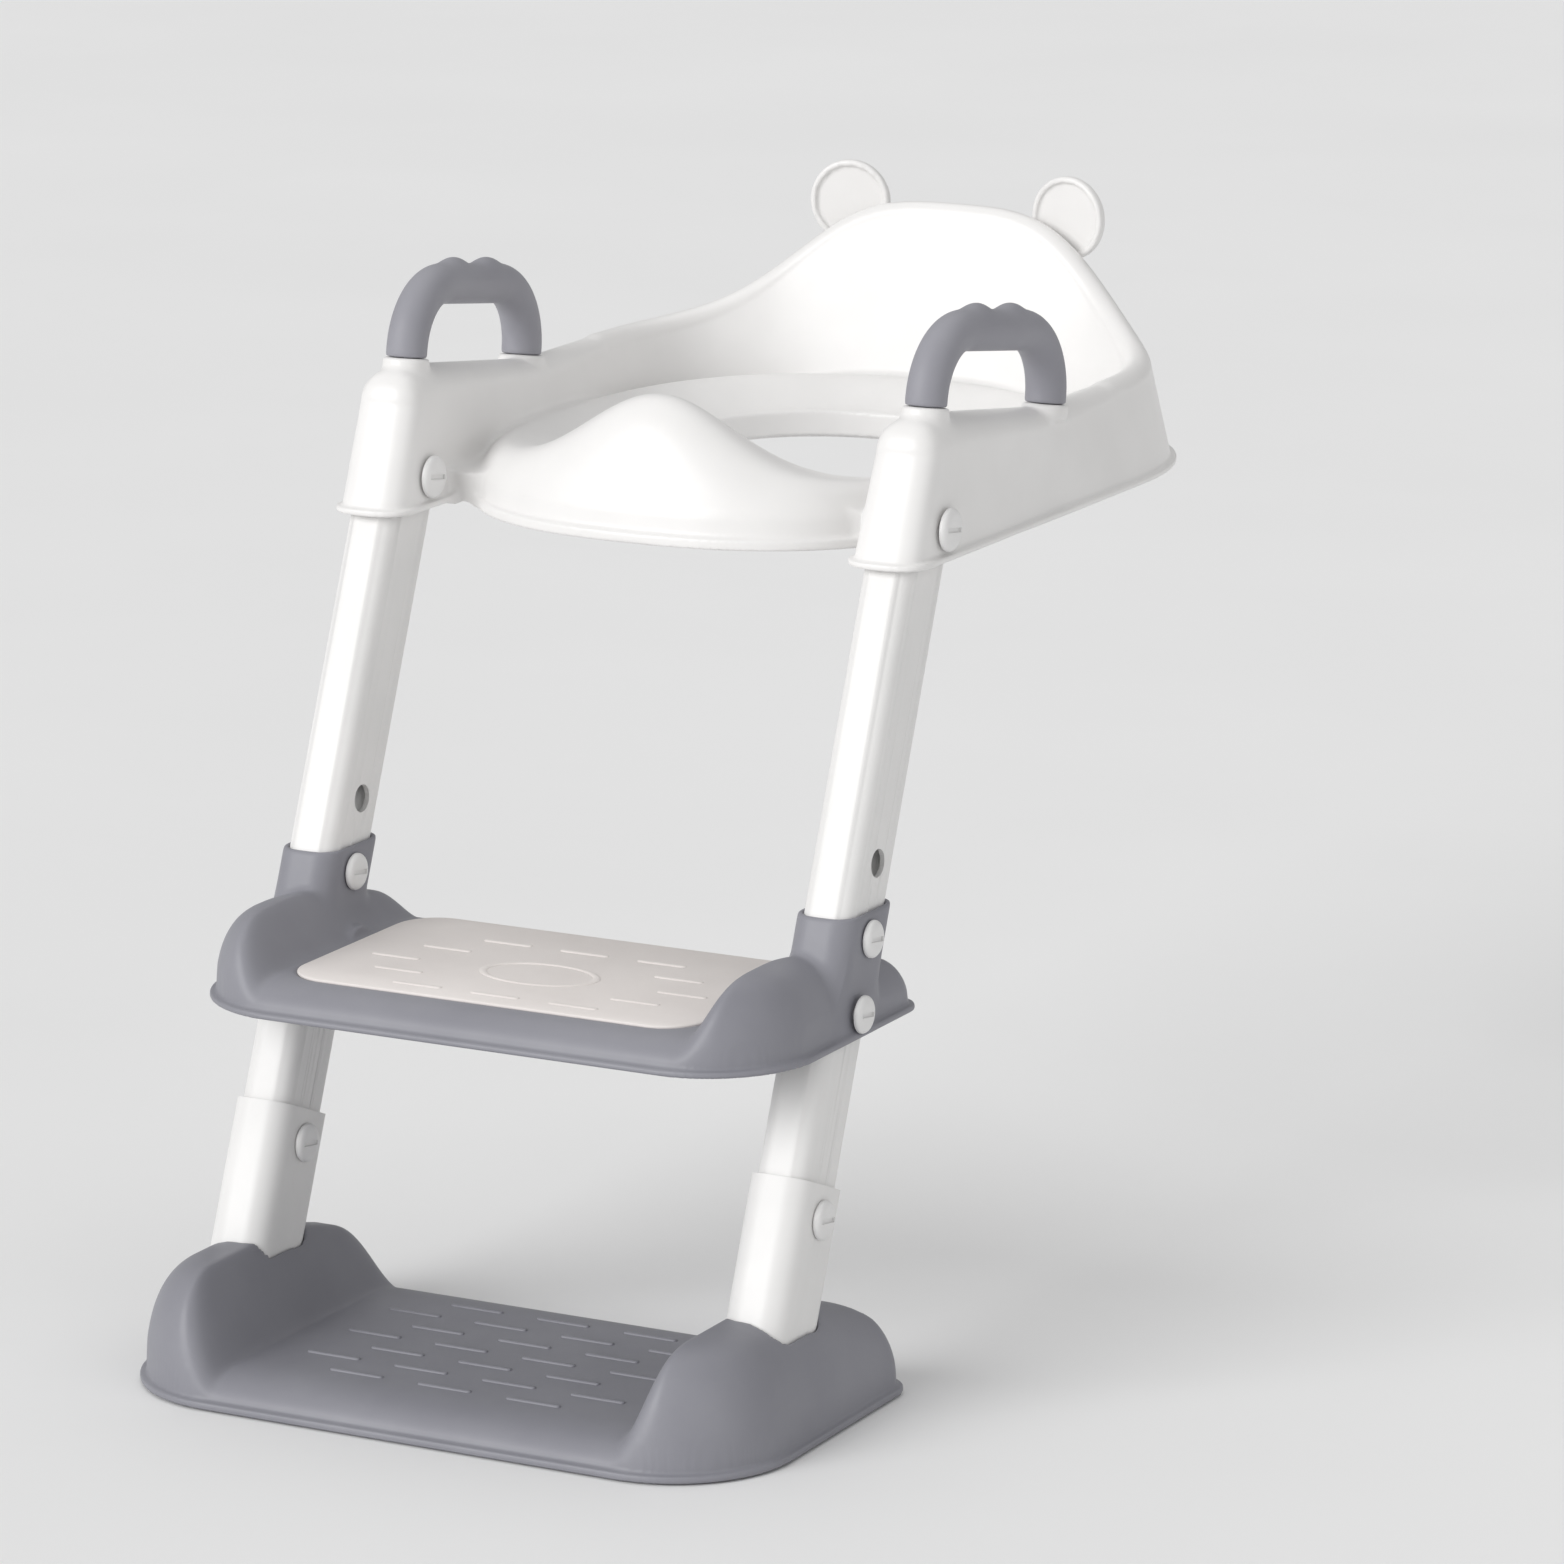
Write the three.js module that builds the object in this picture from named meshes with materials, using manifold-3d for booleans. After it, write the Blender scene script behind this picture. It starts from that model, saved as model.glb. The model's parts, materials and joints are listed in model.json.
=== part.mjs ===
// Potty training chair: a child's toilet seat with a backrest, splash guard and two handles,
// carried by a telescoping two-step ladder. Millimetres, +Z up, -Y towards the child's way in.
// The origin is the centre of the object's box, on the floor.
import * as THREE from "three";
import { mergeVertices } from "three/addons/utils/BufferGeometryUtils.js";
import Module from "manifold-3d";

const wasm = await Module();
wasm.setup();

// ---------- driving dimensions ----------
const GAP = 0.35; // clearance between pieces that rest on each other
const WALL = 3; // moulded shell thickness
const LEAN = THREE.MathUtils.degToRad(21.9); // rails lean back from the vertical

// ladder: distances along a rail are measured from the floor
const RAIL_X = 153.5;
const RAIL_FOOT_Y = -235.8;
const RAIL_WIDTH = 29;
const RAIL_DEPTH = 46;
const RAIL_CORNER = 10;
const RAIL_WALL = 2.6;
const RAIL_START = 55;
const HOLE_PITCH = 39;
const HOLE_RADIUS = 7.5;
const S_PIVOT = 478.4;
const RAIL_END = S_PIVOT + RAIL_DEPTH / 2;
const RAIL_TOP = { reach: 23, halfWidth: 15, chamfer: 6 }; // rounded about the pivot, so the seat can fold
const S_STEP_UPPER = 263.5;
const S_STEP_LOWER = S_STEP_UPPER - HOLE_PITCH;
const S_SLEEVE_BOLT = 117.5;

// sleeves that the rails telescope into
const SLEEVE_START = 13;
const SLEEVE_END = 135;
const SLEEVE_WALL = 2.8;
const SLIDE_CLEARANCE = 0.4;
const SLEEVE_OUT = SLIDE_CLEARANCE + SLEEVE_WALL;

// steps: outline, heights above the step's own rim
const BASE = {
  halfWidth: 187.8, front: -322.5, back: -118.1, z: 1, frontCorner: 66, backCorner: 17,
  deckHalf: 116, flank: 26, deck: 18, humpTop: 64, humpBack: 42, humpFall: 0.5, round: 36, lip: 3.2, lipHeight: 4,
};
const STEP = {
  halfWidth: 174.3, front: -264.6, back: -79.4, z: 195.5, frontCorner: 60, backCorner: 17,
  deckHalf: 122, flank: 22, deck: 18, humpTop: 47, humpBack: 30, humpFall: 0.35, round: 30, lip: 3.2, lipHeight: 3.6,
};
const HUMP_RUN = 0.6; // share of the step's depth over which a hump falls
const STEP_ROUNDNESS = 2.4; // exponent of the rounded outer edge
const COLLAR_TOP = 258.5; // the collars are cut level at this height
const PAD = { halfWidth: 120, front: -240, back: -97, corner: 24, thickness: 2.6, proud: 1.2 };
const PAD_BOTTOM = STEP.z + STEP.deck + PAD.proud - PAD.thickness;
const STEP_BOSS = { radius: 11, inner: 30, outer: 12 }; // takes the lower step bolt, beside each rail

// seat
const SEAT_Z = 427;
const SEAT_WALL = 2.7;
const SEAT_LIP = 2; // how far the flange stands out round the seat's lower edge
const SEAT_LIP_HEIGHT = 3.5;
const SEAT_CENTRE_Y = 167.5; // where the straight sides turn into the rounded back
const SEAT_OUTER = { halfWidth: 177, depth: 155 };
const SEAT_INNER = { halfWidth: 138, depth: 92 };
const WALL_CREST = { halfWidth: 157, depth: 136 };
const BACK_ROUNDNESS = 2.5; // exponent of the superellipse
const TOWER = { outer: 175, inner: 131, centre: -72.5, top: 501, crestX: 154, crestStart: -53.5 };
const TOWER_CAP_DEPTH = 22.5;
const CREST_HALF = { tower: 18.5, side: 8.5, back: 7 }; // half thickness of the wall's rounded top
const CREST_ROUND = 0.95; // height of that round as a share of its half thickness
const SIDE_TOP = 482.8;
const CREST_TOP = 550;
const CREST_SPREAD = 105;
const CREST_POWER = 3.5;
const RING = { centre: 95.5, halfWidth: 150, depth: 180 };
const OPENING = { centre: 108.5, halfWidth: 92, depth: 121 };
const SKIRT_TOP = 441;
const RING_TOP = 456;
const RING_THICKNESS = 4;
const RING_ROUND = 16;
const GUARD_TOP = 498;
const GUARD_SPREAD = 62; // half width of the splash guard's bell
const GUARD_CREST = 0.444; // where it peaks between the opening (0) and the flange (1)
const WEB = { corners: [[122, -28], [133, -40], [133, 40], [112, 40]], height: 16 };
const EAR = { x: 68.4, y: 307.5, z: 546, radius: 23.5, half: 3, rim: 3.2, recess: 1.6, toe: 9 };

// handles
const HANDLE_FRONT = new THREE.Vector3(155, -44, 504.5);
const HANDLE_BACK = new THREE.Vector3(159.7, 88.3, 485);
const HANDLE_RADIUS = 11;
const HANDLE_RISE = 39;
const HANDLE_BEND = 36;
const KNUCKLE = { at: 19, above: 5, radii: [8, 14, 9.3] }; // bumps along a grip's top
const BOSS = { radius: 12.5, height: 9 };

// fasteners
const SLEEVE_HEAD_RADIUS = 10.5;
const STEP_HEAD_RADIUS = 10;
const PIVOT_HEAD_RADIUS = 11.5;
const COLLAR_FACE = RAIL_WIDTH / 2 + SLEEVE_OUT; // outside face of a collar or sleeve from its rail's axis
const HEAD_HEIGHT = 4;
const BARREL_RADIUS = 6.5;
const SHANK_RADIUS = 4.5;
const PIVOT_HEAD_X = 21.3;
const STEP_LOWER_HEAD_X = 20.4;
const SCREW = { radius: 2, hole: 2.4, head: 4.5, headHeight: 2.6, length: 24, seat: -11 };
const FOOT = { radius: 10, height: 3, x: 100, inset: 22, post: 30 };

// ---------- materials ----------
const finish = (colour, roughness) =>
  new THREE.MeshStandardMaterial({ color: colour, roughness, metalness: 0 });
const WHITE = 0xf4f3f2;
const GREY = 0x8d8d98;
const BEIGE = 0xd8d0cb;
const DARK = 0x55565c;

// ---------- solids ----------
function solid(geometry) {
  const bare = geometry.clone();
  bare.deleteAttribute("normal");
  bare.deleteAttribute("uv");
  const merged = mergeVertices(bare, 1e-3);
  const mesh = new wasm.Mesh({
    numProp: 3,
    vertProperties: Float32Array.from(merged.attributes.position.array),
    triVerts: Uint32Array.from(merged.index.array),
  });
  return new wasm.Manifold(mesh);
}

function geometryOf(manifold) {
  const mesh = manifold.getMesh();
  const geometry = new THREE.BufferGeometry();
  geometry.setAttribute("position", new THREE.Float32BufferAttribute(mesh.vertProperties, 3));
  geometry.setIndex(Array.from(mesh.triVerts));
  geometry.computeVertexNormals();
  return geometry;
}

// The main body of a cut, without the slivers that a tangent cut leaves.
const mainBody = (manifold) => manifold.decompose().reduce((a, b) => (a.volume() > b.volume() ? a : b));

// Rows of points, each a closed loop of the same length, joined into one closed surface.
// The first and last rows are flat lines or points that close on themselves.
function loftRows(rows) {
  const count = rows[0].length;
  const positions = rows.flat().flatMap((p) => [p.x, p.y, p.z]);
  const index = [];
  for (let r = 0; r + 1 < rows.length; r++) {
    for (let i = 0; i < count; i++) {
      const a = r * count + i;
      const b = r * count + ((i + 1) % count);
      index.push(a, b, b + count, a, b + count, a + count);
    }
  }
  const geometry = new THREE.BufferGeometry();
  geometry.setAttribute("position", new THREE.Float32BufferAttribute(positions, 3));
  geometry.setIndex(index);
  return dropSlivers(mergeVertices(geometry, 1e-3));
}

function dropSlivers(geometry) {
  const old = Array.from(geometry.index.array);
  const kept = [];
  for (let i = 0; i < old.length; i += 3) {
    const [a, b, c] = old.slice(i, i + 3);
    if (a !== b && b !== c && a !== c) kept.push(a, b, c);
  }
  geometry.setIndex(kept);
  return geometry;
}

function roundedRect(width, depth, corner, target = new THREE.Shape()) {
  const [w, d] = [width / 2, depth / 2];
  target.moveTo(-w + corner, -d);
  target.lineTo(w - corner, -d);
  target.absarc(w - corner, -d + corner, corner, -Math.PI / 2, 0);
  target.lineTo(w, d - corner);
  target.absarc(w - corner, d - corner, corner, 0, Math.PI / 2);
  target.lineTo(-w + corner, d);
  target.absarc(-w + corner, d - corner, corner, Math.PI / 2, Math.PI);
  target.lineTo(-w, -d + corner);
  target.absarc(-w + corner, -d + corner, corner, Math.PI, Math.PI * 1.5);
  return target;
}

const extrude = (shape, depth, curveSegments = 2) =>
  new THREE.ExtrudeGeometry(shape, { depth, bevelEnabled: false, curveSegments });

function cylinderAlongX(radius, from, to, segments = 14) {
  const geometry = new THREE.CylinderGeometry(radius, radius, to - from, segments);
  geometry.rotateZ(-Math.PI / 2);
  return geometry.translate((from + to) / 2, 0, 0);
}

function upright(radius, from, to, segments = 14) {
  const geometry = new THREE.CylinderGeometry(radius, radius, to - from, segments).rotateX(Math.PI / 2);
  return geometry.translate(0, 0, (from + to) / 2);
}

// A leaning frame: local z runs up a rail, local y points to its back.
const railMatrix = (side) =>
  new THREE.Matrix4()
    .makeTranslation(side * RAIL_X, RAIL_FOOT_Y, 0)
    .multiply(new THREE.Matrix4().makeRotationX(-LEAN));
const onRail = (side, geometry) => geometry.clone().applyMatrix4(railMatrix(side));

// A box with rounded corners round the rail's axis, larger than the rail by grow on each side.
function railBlock(grow, from, to) {
  const corner = Math.max(RAIL_CORNER + grow, 2);
  const shape = roundedRect(RAIL_WIDTH + 2 * grow, RAIL_DEPTH + 2 * grow, corner);
  return extrude(shape, to - from).translate(0, 0, from);
}

function railTube(growOut, growIn, from, to) {
  const shape = roundedRect(RAIL_WIDTH + 2 * growOut, RAIL_DEPTH + 2 * growOut, RAIL_CORNER + growOut);
  const corner = Math.max(RAIL_CORNER + growIn, 2);
  shape.holes.push(roundedRect(RAIL_WIDTH + 2 * growIn, RAIL_DEPTH + 2 * growIn, corner, new THREE.Path()));
  return extrude(shape, to - from).translate(0, 0, from);
}

const smooth = (low, high, value) => THREE.MathUtils.smoothstep(value, low, high);
const mix = THREE.MathUtils.lerp;

// ---------- steps ----------
// The outline as points with inward normals: straight back, wide round front corners.
function stepOutline(spec, perCorner) {
  const { halfWidth: w, front, back, frontCorner: rf, backCorner: rb } = spec;
  const corners = [
    [w - rf, front + rf, rf, -Math.PI / 2],
    [w - rb, back - rb, rb, 0],
    [-w + rb, back - rb, rb, Math.PI / 2],
    [-w + rf, front + rf, rf, Math.PI],
  ];
  const points = [];
  for (const [cx, cy, radius, start] of corners) {
    for (let i = 0; i <= perCorner; i++) {
      const angle = start + (i / perCorner) * (Math.PI / 2);
      const out = new THREE.Vector2(Math.cos(angle), Math.sin(angle));
      points.push({ x: cx + radius * out.x, y: cy + radius * out.y, inX: -out.x, inY: -out.y });
    }
  }
  return subdivideLong(points, 36);
}

function subdivideLong(points, longest) {
  const result = [];
  points.forEach((a, i) => {
    const b = points[(i + 1) % points.length];
    const parts = Math.max(1, Math.ceil(Math.hypot(b.x - a.x, b.y - a.y) / longest));
    for (let k = 0; k < parts; k++) {
      const t = k / parts;
      result.push({
        x: mix(a.x, b.x, t), y: mix(a.y, b.y, t), inX: mix(a.inX, b.inX, t), inY: mix(a.inY, b.inY, t),
      });
    }
  });
  return result;
}

// Height of the top surface over the rim, before the outer edge is rounded off.
function stepTop(spec, x, y) {
  const along = (y - spec.front) / (spec.back - spec.front);
  const fall = smooth(spec.humpFall, spec.humpFall + HUMP_RUN, along);
  const hump = mix(spec.humpTop, spec.humpBack, fall);
  const flank = smooth(spec.deckHalf, spec.deckHalf + spec.flank, Math.abs(x));
  return mix(spec.deck, hump, flank);
}

// Share of the full height at a distance in from the outline: a broad superellipse round.
function edgeRise(inset, round) {
  const t = Math.min(inset / round, 1);
  return (1 - (1 - t) ** STEP_ROUNDNESS) ** (1 / STEP_ROUNDNESS);
}

function stepShell(spec, shrink, bottom) {
  const outline = stepOutline(spec, 3);
  const insets = [0.4, 3, 8, 15].map((inset) => inset + shrink);
  const centre = { x: 0, y: (spec.front + spec.back) / 2 };
  const lift = (x, y, inset) => {
    const rise = edgeRise(inset - shrink, spec.round);
    return spec.z + Math.max(stepTop(spec, x, y) * rise - shrink, bottom - spec.z + 0.5);
  };
  const rowAt = (inset, z) =>
    outline.map((p) => {
      const [x, y] = [p.x + p.inX * (spec.lip + inset), p.y + p.inY * (spec.lip + inset)];
      return new THREE.Vector3(x, y, z ?? lift(x, y, inset));
    });
  const last = insets.at(-1);
  const rows = [outline.map(() => new THREE.Vector3(centre.x, centre.y, bottom)), rowAt(shrink, bottom)];
  insets.forEach((inset) => rows.push(rowAt(inset)));
  for (const f of [0.14, 0.2, 0.27, 0.34, 0.46, 1]) {
    rows.push(
      rowAt(last).map((p) => {
        const [x, y] = [mix(p.x, centre.x, f), mix(p.y, centre.y, f)];
        const side = spec.halfWidth - spec.lip - Math.abs(x);
        const ends = Math.min(y - spec.front, spec.back - y) - spec.lip;
        return new THREE.Vector3(x, y, lift(x, y, Math.max(Math.min(side, ends), last)));
      }),
    );
  }
  return solid(loftRows(rows));
}

function stepLip(spec) {
  const shape = new THREE.Shape(stepOutline(spec, 3).map((p) => new THREE.Vector2(p.x, p.y)));
  const inner = stepOutline(spec, 3).map(
    (p) => new THREE.Vector2(p.x + p.inX * (spec.lip + WALL), p.y + p.inY * (spec.lip + WALL)),
  );
  shape.holes.push(new THREE.Path(inner));
  return solid(extrude(shape, spec.lipHeight).translate(0, 0, spec.z));
}

// The hollow under a step keeps a wall behind the steep flanks of its humps as well as on top.
function hollowStep(spec) {
  const within = { ...spec, deckHalf: spec.deckHalf + 5, humpFall: spec.humpFall - 0.04 };
  return stepShell(spec, 0, spec.z).subtract(stepShell(within, WALL, spec.z - 1)).add(stepLip(spec));
}

const FEET = [-1, 1].flatMap((side) => [
  { x: side * FOOT.x, y: BASE.front + FOOT.inset, end: "front" },
  { x: side * FOOT.x, y: BASE.back - FOOT.inset, end: "back" },
]);

function baseStep() {
  const outer = stepShell(BASE, 0, BASE.z);
  let body = hollowStep(BASE);
  for (const side of [-1, 1]) {
    body = body.add(solid(onRail(side, railBlock(SLEEVE_OUT + 4, 0, 90))).intersect(outer));
  }
  for (const foot of FEET) {
    const start = FOOT.height + GAP;
    const post = upright(FOOT.radius + WALL, start, start + FOOT.post).translate(foot.x, foot.y, 0);
    body = body.add(solid(post).intersect(outer));
  }
  for (const side of [-1, 1]) {
    body = body.subtract(solid(onRail(side, railBlock(SLEEVE_OUT + GAP, -40, 120))));
  }
  return mainBody(body);
}

function midStep() {
  const outer = stepShell(STEP, 0, STEP.z);
  let body = hollowStep(STEP);
  for (const side of [-1, 1]) {
    const block = solid(onRail(side, railBlock(SLEEVE_OUT, S_STEP_LOWER, 300)));
    const collar = block.trimByPlane([0, 0, -1], -COLLAR_TOP);
    const socket = solid(onRail(side, railBlock(SLEEVE_OUT + 2, 190, 300))).intersect(outer);
    const { radius, inner, outer: start } = STEP_BOSS;
    const boss = acrossRail(side, S_STEP_LOWER, radius, -side * inner, -side * start);
    body = body.add(collar).add(socket).add(boss);
  }
  const pocket = padShape(GAP);
  body = body.subtract(solid(extrude(pocket, 10).translate(0, 0, PAD_BOTTOM - GAP)));
  for (const side of [-1, 1]) {
    body = body.subtract(solid(onRail(side, railBlock(SLIDE_CLEARANCE, 150, 320))));
    body = body.subtract(acrossRail(side, S_STEP_UPPER, SHANK_RADIUS + GAP, -60, 60));
    body = body.subtract(acrossRail(side, S_STEP_LOWER, SHANK_RADIUS + GAP, 0, side * 60));
    const headRoom = STEP_HEAD_RADIUS + GAP;
    body = body.subtract(acrossRail(side, S_STEP_UPPER, headRoom, COLLAR_FACE, 60));
    body = body.subtract(acrossRail(side, S_STEP_UPPER, headRoom, -60, -COLLAR_FACE));
    const lowerHead = side * (STEP_LOWER_HEAD_X - GAP);
    body = body.subtract(acrossRail(side, S_STEP_LOWER, headRoom, lowerHead, side * 60));
  }
  return mainBody(body.trimByPlane([0, 0, 1], STEP.z));
}

// A cylinder across a rail at a distance s up it, between two distances from the rail's axis.
function acrossRail(side, s, radius, from, to) {
  const cylinder = cylinderAlongX(radius, Math.min(from, to), Math.max(from, to));
  return solid(onRail(side, cylinder.translate(0, 0, s)));
}

function padShape(grow) {
  const depth = PAD.back - PAD.front + 2 * grow;
  const moved = roundedRect(PAD.halfWidth * 2 + 2 * grow, depth, PAD.corner).getPoints(5);
  const centre = (PAD.front + PAD.back) / 2;
  return new THREE.Shape(moved.map((p) => new THREE.Vector2(p.x, p.y + centre)));
}

// ---------- seat ----------
const backPoint = (size, angle) => ({
  x: size.halfWidth * Math.sign(Math.cos(angle)) * Math.abs(Math.cos(angle)) ** (2 / BACK_ROUNDNESS),
  y: SEAT_CENTRE_Y + size.depth * Math.abs(Math.sin(angle)) ** (2 / BACK_ROUNDNESS),
});

// Stations round the horseshoe wall, from the right tower back and round to the left one.
function wallStations() {
  const straight = [0, 0.12, 0.34, 0.6, 0.82].map((t) => {
    const y = mix(TOWER.crestStart, SEAT_CENTRE_Y, t);
    const fall = THREE.MathUtils.clamp((y - HANDLE_FRONT.y) / (HANDLE_BACK.y - HANDLE_FRONT.y), 0, 1);
    const narrowing = THREE.MathUtils.clamp((y - HANDLE_FRONT.y) / (SEAT_CENTRE_Y - HANDLE_FRONT.y), 0, 1);
    const footY = mix(TOWER.centre, SEAT_CENTRE_Y, t);
    return {
      outer: new THREE.Vector2(mix(TOWER.outer, SEAT_OUTER.halfWidth, t), footY),
      inner: new THREE.Vector2(mix(TOWER.inner, SEAT_INNER.halfWidth, t), footY),
      top: new THREE.Vector3(mix(TOWER.crestX, WALL_CREST.halfWidth, t), y, mix(TOWER.top, SIDE_TOP, fall)),
      half: mix(CREST_HALF.tower, CREST_HALF.side, narrowing),
    };
  });
  const back = [];
  const count = 16;
  for (let i = 0; i <= count; i++) {
    const angle = (i / count) * Math.PI;
    const [outer, inner, crest] = [SEAT_OUTER, SEAT_INNER, WALL_CREST].map((size) => backPoint(size, angle));
    const rise = Math.exp(-(Math.abs(crest.x / CREST_SPREAD) ** CREST_POWER));
    back.push({
      outer: new THREE.Vector2(outer.x, outer.y),
      inner: new THREE.Vector2(inner.x, inner.y),
      top: new THREE.Vector3(crest.x, crest.y, mix(SIDE_TOP, CREST_TOP, rise)),
      half: mix(CREST_HALF.side, CREST_HALF.back, rise),
    });
  }
  const mirrored = straight.map((s) => ({
    outer: new THREE.Vector2(-s.outer.x, s.outer.y),
    inner: new THREE.Vector2(-s.inner.x, s.inner.y),
    top: new THREE.Vector3(-s.top.x, s.top.y, s.top.z),
    half: s.half,
  }));
  return [...straight, ...back, ...mirrored.reverse()];
}

// Loop of wall feet: each has its bottom point, the spine point above it and the way out from it.
function wallFeet(stations, shrink) {
  const foot = (station, from, to) => {
    const inward = to.clone().sub(from).normalize();
    const bottom = from.clone().addScaledVector(inward, shrink);
    return { bottom, station, out: inward.clone().negate() };
  };
  const cap = (station) => {
    const centre = station.outer.clone().add(station.inner).multiplyScalar(0.5);
    const half = station.outer.distanceTo(station.inner) / 2 - shrink;
    const steps = 6;
    return Array.from({ length: steps - 1 }, (_, i) => {
      const angle = ((i + 1) / steps) * Math.PI;
      const [c, s] = [Math.cos(angle), Math.sin(angle)];
      const out = new THREE.Vector2(
        -Math.sign(c) * Math.abs(c) ** (2 / 3),
        -(s ** (2 / 3)),
      );
      const reach = new THREE.Vector2(half * out.x, (TOWER_CAP_DEPTH - shrink) * out.y);
      return { bottom: centre.clone().add(reach), station, out };
    });
  };
  const outerSide = stations.map((s) => foot(s, s.outer, s.inner));
  const innerSide = [...stations].reverse().map((s) => foot(s, s.inner, s.outer));
  return [...outerSide, ...cap(stations.at(-1)), ...innerSide, ...cap(stations[0])];
}

function seatWall(shrink, bottomZ, lip) {
  const feet = wallFeet(wallStations(), shrink);
  const flat = (z, inset) =>
    feet.map((f) => new THREE.Vector3(f.bottom.x - f.out.x * inset, f.bottom.y - f.out.y * inset, z));
  const middle = feet.map((f) => {
    const m = f.station.outer.clone().add(f.station.inner).multiplyScalar(0.5);
    return new THREE.Vector3(m.x, m.y, bottomZ);
  });
  const start = flat(SEAT_Z + SEAT_LIP_HEIGHT, lip);
  const flange = [flat(bottomZ, 0), flat(SEAT_Z + SEAT_LIP_HEIGHT - 0.1, 0)];
  const foot = shrink ? [flat(bottomZ, lip)] : flange;
  const rows = [middle, ...foot, start];
  // The top is a quarter round on each face, from its start (0 degrees) to the crest (90).
  const round = (degrees) =>
    feet.map((f) => {
      const { top, half } = f.station;
      const angle = THREE.MathUtils.degToRad(degrees);
      const reach = (half - shrink) * Math.cos(angle);
      const z = top.z - half * CREST_ROUND + (half * CREST_ROUND - shrink) * Math.sin(angle);
      return new THREE.Vector3(top.x + f.out.x * reach, top.y + f.out.y * reach, z);
    });
  const edge = round(0);
  rows.push(start.map((p, i) => p.clone().lerp(edge[i], 0.5)), edge, round(30), round(60));
  rows.push(feet.map((f) => f.station.top.clone().setZ(f.station.top.z - shrink)));
  return solid(loftRows(rows));
}

const superOval = (size, angle) => {
  const [c, s] = [Math.cos(angle), Math.sin(angle)];
  return new THREE.Vector2(
    size.halfWidth * Math.sign(c) * Math.abs(c) ** (2 / BACK_ROUNDNESS),
    size.centre + size.depth * Math.sign(s) * Math.abs(s) ** (2 / BACK_ROUNDNESS),
  );
};

// Height of the seat ring and splash guard, from the opening (f = 0) to the flange (f = 1).
function ringHeight(f, x, front) {
  const ring = mix(SKIRT_TOP, RING_TOP, smooth(0, 0.8, f));
  const inside = Math.sin(Math.min(f / GUARD_CREST, 1) * Math.PI * 0.5) ** 1.3;
  const outside = (1 - Math.max((f - GUARD_CREST) / (1 - GUARD_CREST), 0) ** 2.3) ** 0.72;
  const guard = f < GUARD_CREST ? mix(SKIRT_TOP, GUARD_TOP, inside) : mix(SEAT_Z, GUARD_TOP, outside);
  const flange = SEAT_Z + RING_THICKNESS;
  const fromEdge = (1 - f) * (RING.halfWidth - OPENING.halfWidth);
  const edge = flange + (ring - flange) * edgeRise(fromEdge, RING_ROUND);
  return front ? mix(edge, Math.max(guard, edge), Math.exp(-((x / GUARD_SPREAD) ** 2))) : edge;
}

function ringBody() {
  const count = 40;
  const angles = Array.from({ length: count }, (_, i) => (i / count) * Math.PI * 2);
  const point = (angle, f, z) => {
    const p = superOval(OPENING, angle).lerp(superOval(RING, angle), f);
    return new THREE.Vector3(p.x, p.y, z ?? ringHeight(f, p.x, p.y < OPENING.centre));
  };
  const row = (f, z) => angles.map((angle) => point(angle, f, z));
  const over = [0.97, 0.92, 0.82, 0.65, 0.55, GUARD_CREST, 0.3, 0.12, 0];
  const under = [0.12, 0.3, GUARD_CREST, 0.65, 0.85];
  const rows = [row(1, SEAT_Z), row(1, SEAT_Z + SEAT_LIP_HEIGHT - 0.1), ...over.map((f) => row(f))];
  rows.push(row(0, SEAT_Z - 2));
  rows.push(row(0.05, SEAT_Z - 2));
  for (const f of under) {
    rows.push(row(f).map((p) => p.setZ(Math.max(p.z - RING_THICKNESS, SEAT_Z + 1))));
  }
  rows.push(row(0.95, SEAT_Z), row(1, SEAT_Z));
  return solid(loftRows(rows));
}

function webBeside(side) {
  const shape = new THREE.Shape(WEB.corners.map(([x, y]) => new THREE.Vector2(side * x, y)));
  return solid(extrude(shape, WEB.height).translate(0, 0, SEAT_Z));
}

function ear(side) {
  const { radius, half, rim, recess } = EAR;
  const profile = [
    [0, -half], [radius - 1, -half], [radius, 1 - half], [radius, half - 1], [radius - 1, half],
    [radius - rim, half], [radius - rim - 1, half - recess], [0, half - recess],
  ].map(([r, h]) => new THREE.Vector2(r, h));
  const geometry = new THREE.LatheGeometry(profile, 20);
  geometry.rotateX(Math.PI).rotateZ(-side * THREE.MathUtils.degToRad(EAR.toe));
  return solid(geometry.translate(side * EAR.x, EAR.y, EAR.z));
}

// The handle's own frame: y from its front foot to its back foot, z up out of the tower.
function handleMatrix(side) {
  const front = HANDLE_FRONT.clone();
  const back = HANDLE_BACK.clone();
  front.x *= side;
  back.x *= side;
  const yAxis = back.clone().sub(front).normalize();
  const xAxis = new THREE.Vector3().crossVectors(yAxis, new THREE.Vector3(0, 0, 1)).normalize();
  const zAxis = new THREE.Vector3().crossVectors(xAxis, yAxis);
  const middle = front.add(back).multiplyScalar(0.5);
  return new THREE.Matrix4().makeBasis(xAxis, yAxis, zAxis).setPosition(middle);
}
const HANDLE_SPAN = HANDLE_FRONT.distanceTo(HANDLE_BACK) / 2;

// A cylinder along the axis of a handle's foot, in place on the seat.
function underHandle(side, end, radius, from, to) {
  const cylinder = upright(radius, from, to).translate(0, end * HANDLE_SPAN, 0);
  return solid(cylinder.applyMatrix4(handleMatrix(side)));
}

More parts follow.
